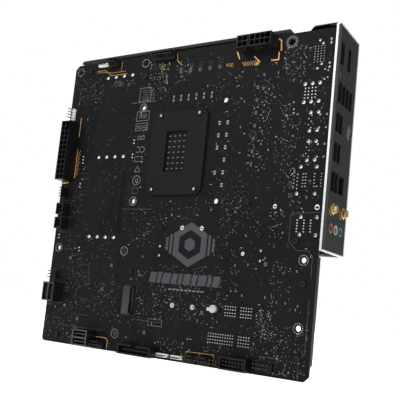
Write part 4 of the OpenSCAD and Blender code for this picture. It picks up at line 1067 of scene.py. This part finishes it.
# two plain slanted bars on the shield's face
SLANTED_BAR = ((0, 0), (1.3, 0), (4.6, 9.0), (3.3, 9.0))
bars = Shape()
for k in range(2):
    y0, z0 = (24.6 + 2.6 * k) * MM, TOP_Z - (72.0 + 1.6 * k) * MM
    bars.rings([[Vector((shield_high.x + up * MM, y0 + dy * MM, z0 + dz * MM)) for dy, dz in SLANTED_BAR]
                for up in (0.01, 0.06)])
bars.piece("shield_bars", "print_grey", "shield_dark")


def quiet(u, v):
    """Round the socket's backing plate and round the mark, where the back face is bare."""
    return 84 < u < 160 and 46 < v < 122 or 66 < u < 142 and 138 < v < 196


# outlines and names of small parts, as blank dashes
DASH_MARGIN = 3
for kind, count, seed in (("print_faint", 620, 11), ("print_grey", 90, 12)):
    rng = random.Random(seed)
    for k in range(count):
        u, v = (rng.uniform(DASH_MARGIN, side - DASH_MARGIN) for side in (BOARD_W, BOARD_H))
        upright, long = rng.random() < 0.5, rng.uniform(0.7, 2.0)
        du, dv = (0.0, long / 2) if upright else (long / 2, 0.0)
        if not quiet(u, v) and back_room.free(u, v, 1.2) and back_room.free(u + 2 * du, v + 2 * dv, 0.4):
            line(kind, ((u - du, v - dv), (u + du, v + dv)), 0.28)

# component side: outlines of slots and sockets
FRONT_OUTLINED = (
    (tuple(f"dimm_slot_{i}" for i in range(1, 5)), 0.7), (("pcie_x16_slot", "pcie_short_slots"), 0.9),
    (("socket_body",), 3.2), (("battery_holder",), 1.0), (("chips",), 0.6), (("capacitors",), 0.5),
)
for names, margin in FRONT_OUTLINED:
    for u0, v0, u1, v1 in taken_boxes(names):
        frame_box("print_grey", u0 - margin, v0 - margin, u1 + margin, v1 + margin, 0.22, FRONT_Y)
for name, shape in prints.items():
    shape.piece("marks_" + name, name, "pcb_black")

# ---------------------------------------------------------------- more small parts, and chip leads

SMALL_SEED, SMALL_MARGIN, SMALL_GRID, SMALL_HIGH = 21, 4, 1.3, 0.35
small, metal = Shape(), Shape()
rng = random.Random(SMALL_SEED)
for room, y, out, count in ((back_room, BACK_Y, -1, 260), (front_room, FRONT_Y, 1, 700)):
    for k in range(count):
        u, v = (rng.uniform(SMALL_MARGIN, side - SMALL_MARGIN) for side in (BOARD_W, BOARD_H))
        u, v = round(u / SMALL_GRID) * SMALL_GRID, round(v / SMALL_GRID) * SMALL_GRID
        bare = 90 < u < 156 and 46 < v < 122 or 66 < u < 142 and 138 < v < 196 or 165 < u < 215
        if out < 0 and bare or not room.free(u, v, 0.9):
            continue
        du, dv = (0.5, 0.26) if rng.random() < 0.5 else (0.26, 0.5)
        room.fill((u - du, v - dv, u + du, v + dv), 0.5)
        high = y + out * SMALL_HIGH
        small.box((u - du * 0.96, u + du * 0.96), (v - dv * 0.96, v + dv * 0.96), (y, high))
        for side in (-1, 1):
            if du > dv:
                metal.box((u + side * 0.5 - 0.14, u + side * 0.5 + 0.14), (v - dv, v + dv), (y, high + out * 0.03))
            else:
                metal.box((u - du, u + du), (v + side * 0.5 - 0.14, v + side * 0.5 + 0.14), (y, high + out * 0.03))
CHIP_PITCH, CHIP_LEAD = 0.8, 0.7
for u0, v0, u1, v1 in taken_boxes(("chips",)):
    for k in range(int((v1 - v0) / CHIP_PITCH)):
        v = v0 + 0.5 + CHIP_PITCH * k
        for lead in ((u0 - CHIP_LEAD, u0), (u1, u1 + CHIP_LEAD)):
            metal.box(lead, (v, v + 0.34), (FRONT_Y, FRONT_Y + 0.3))
small.piece("small_part_bodies", "part_tan", "small_parts", bevel=0.03, segments=1)
metal.piece("small_part_ends", "plated", "solder")

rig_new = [list(corner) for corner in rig.bounds()]
with open("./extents.json", "w") as handle:
    json.dump({"cad": cad_bounds, "visual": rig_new}, handle)
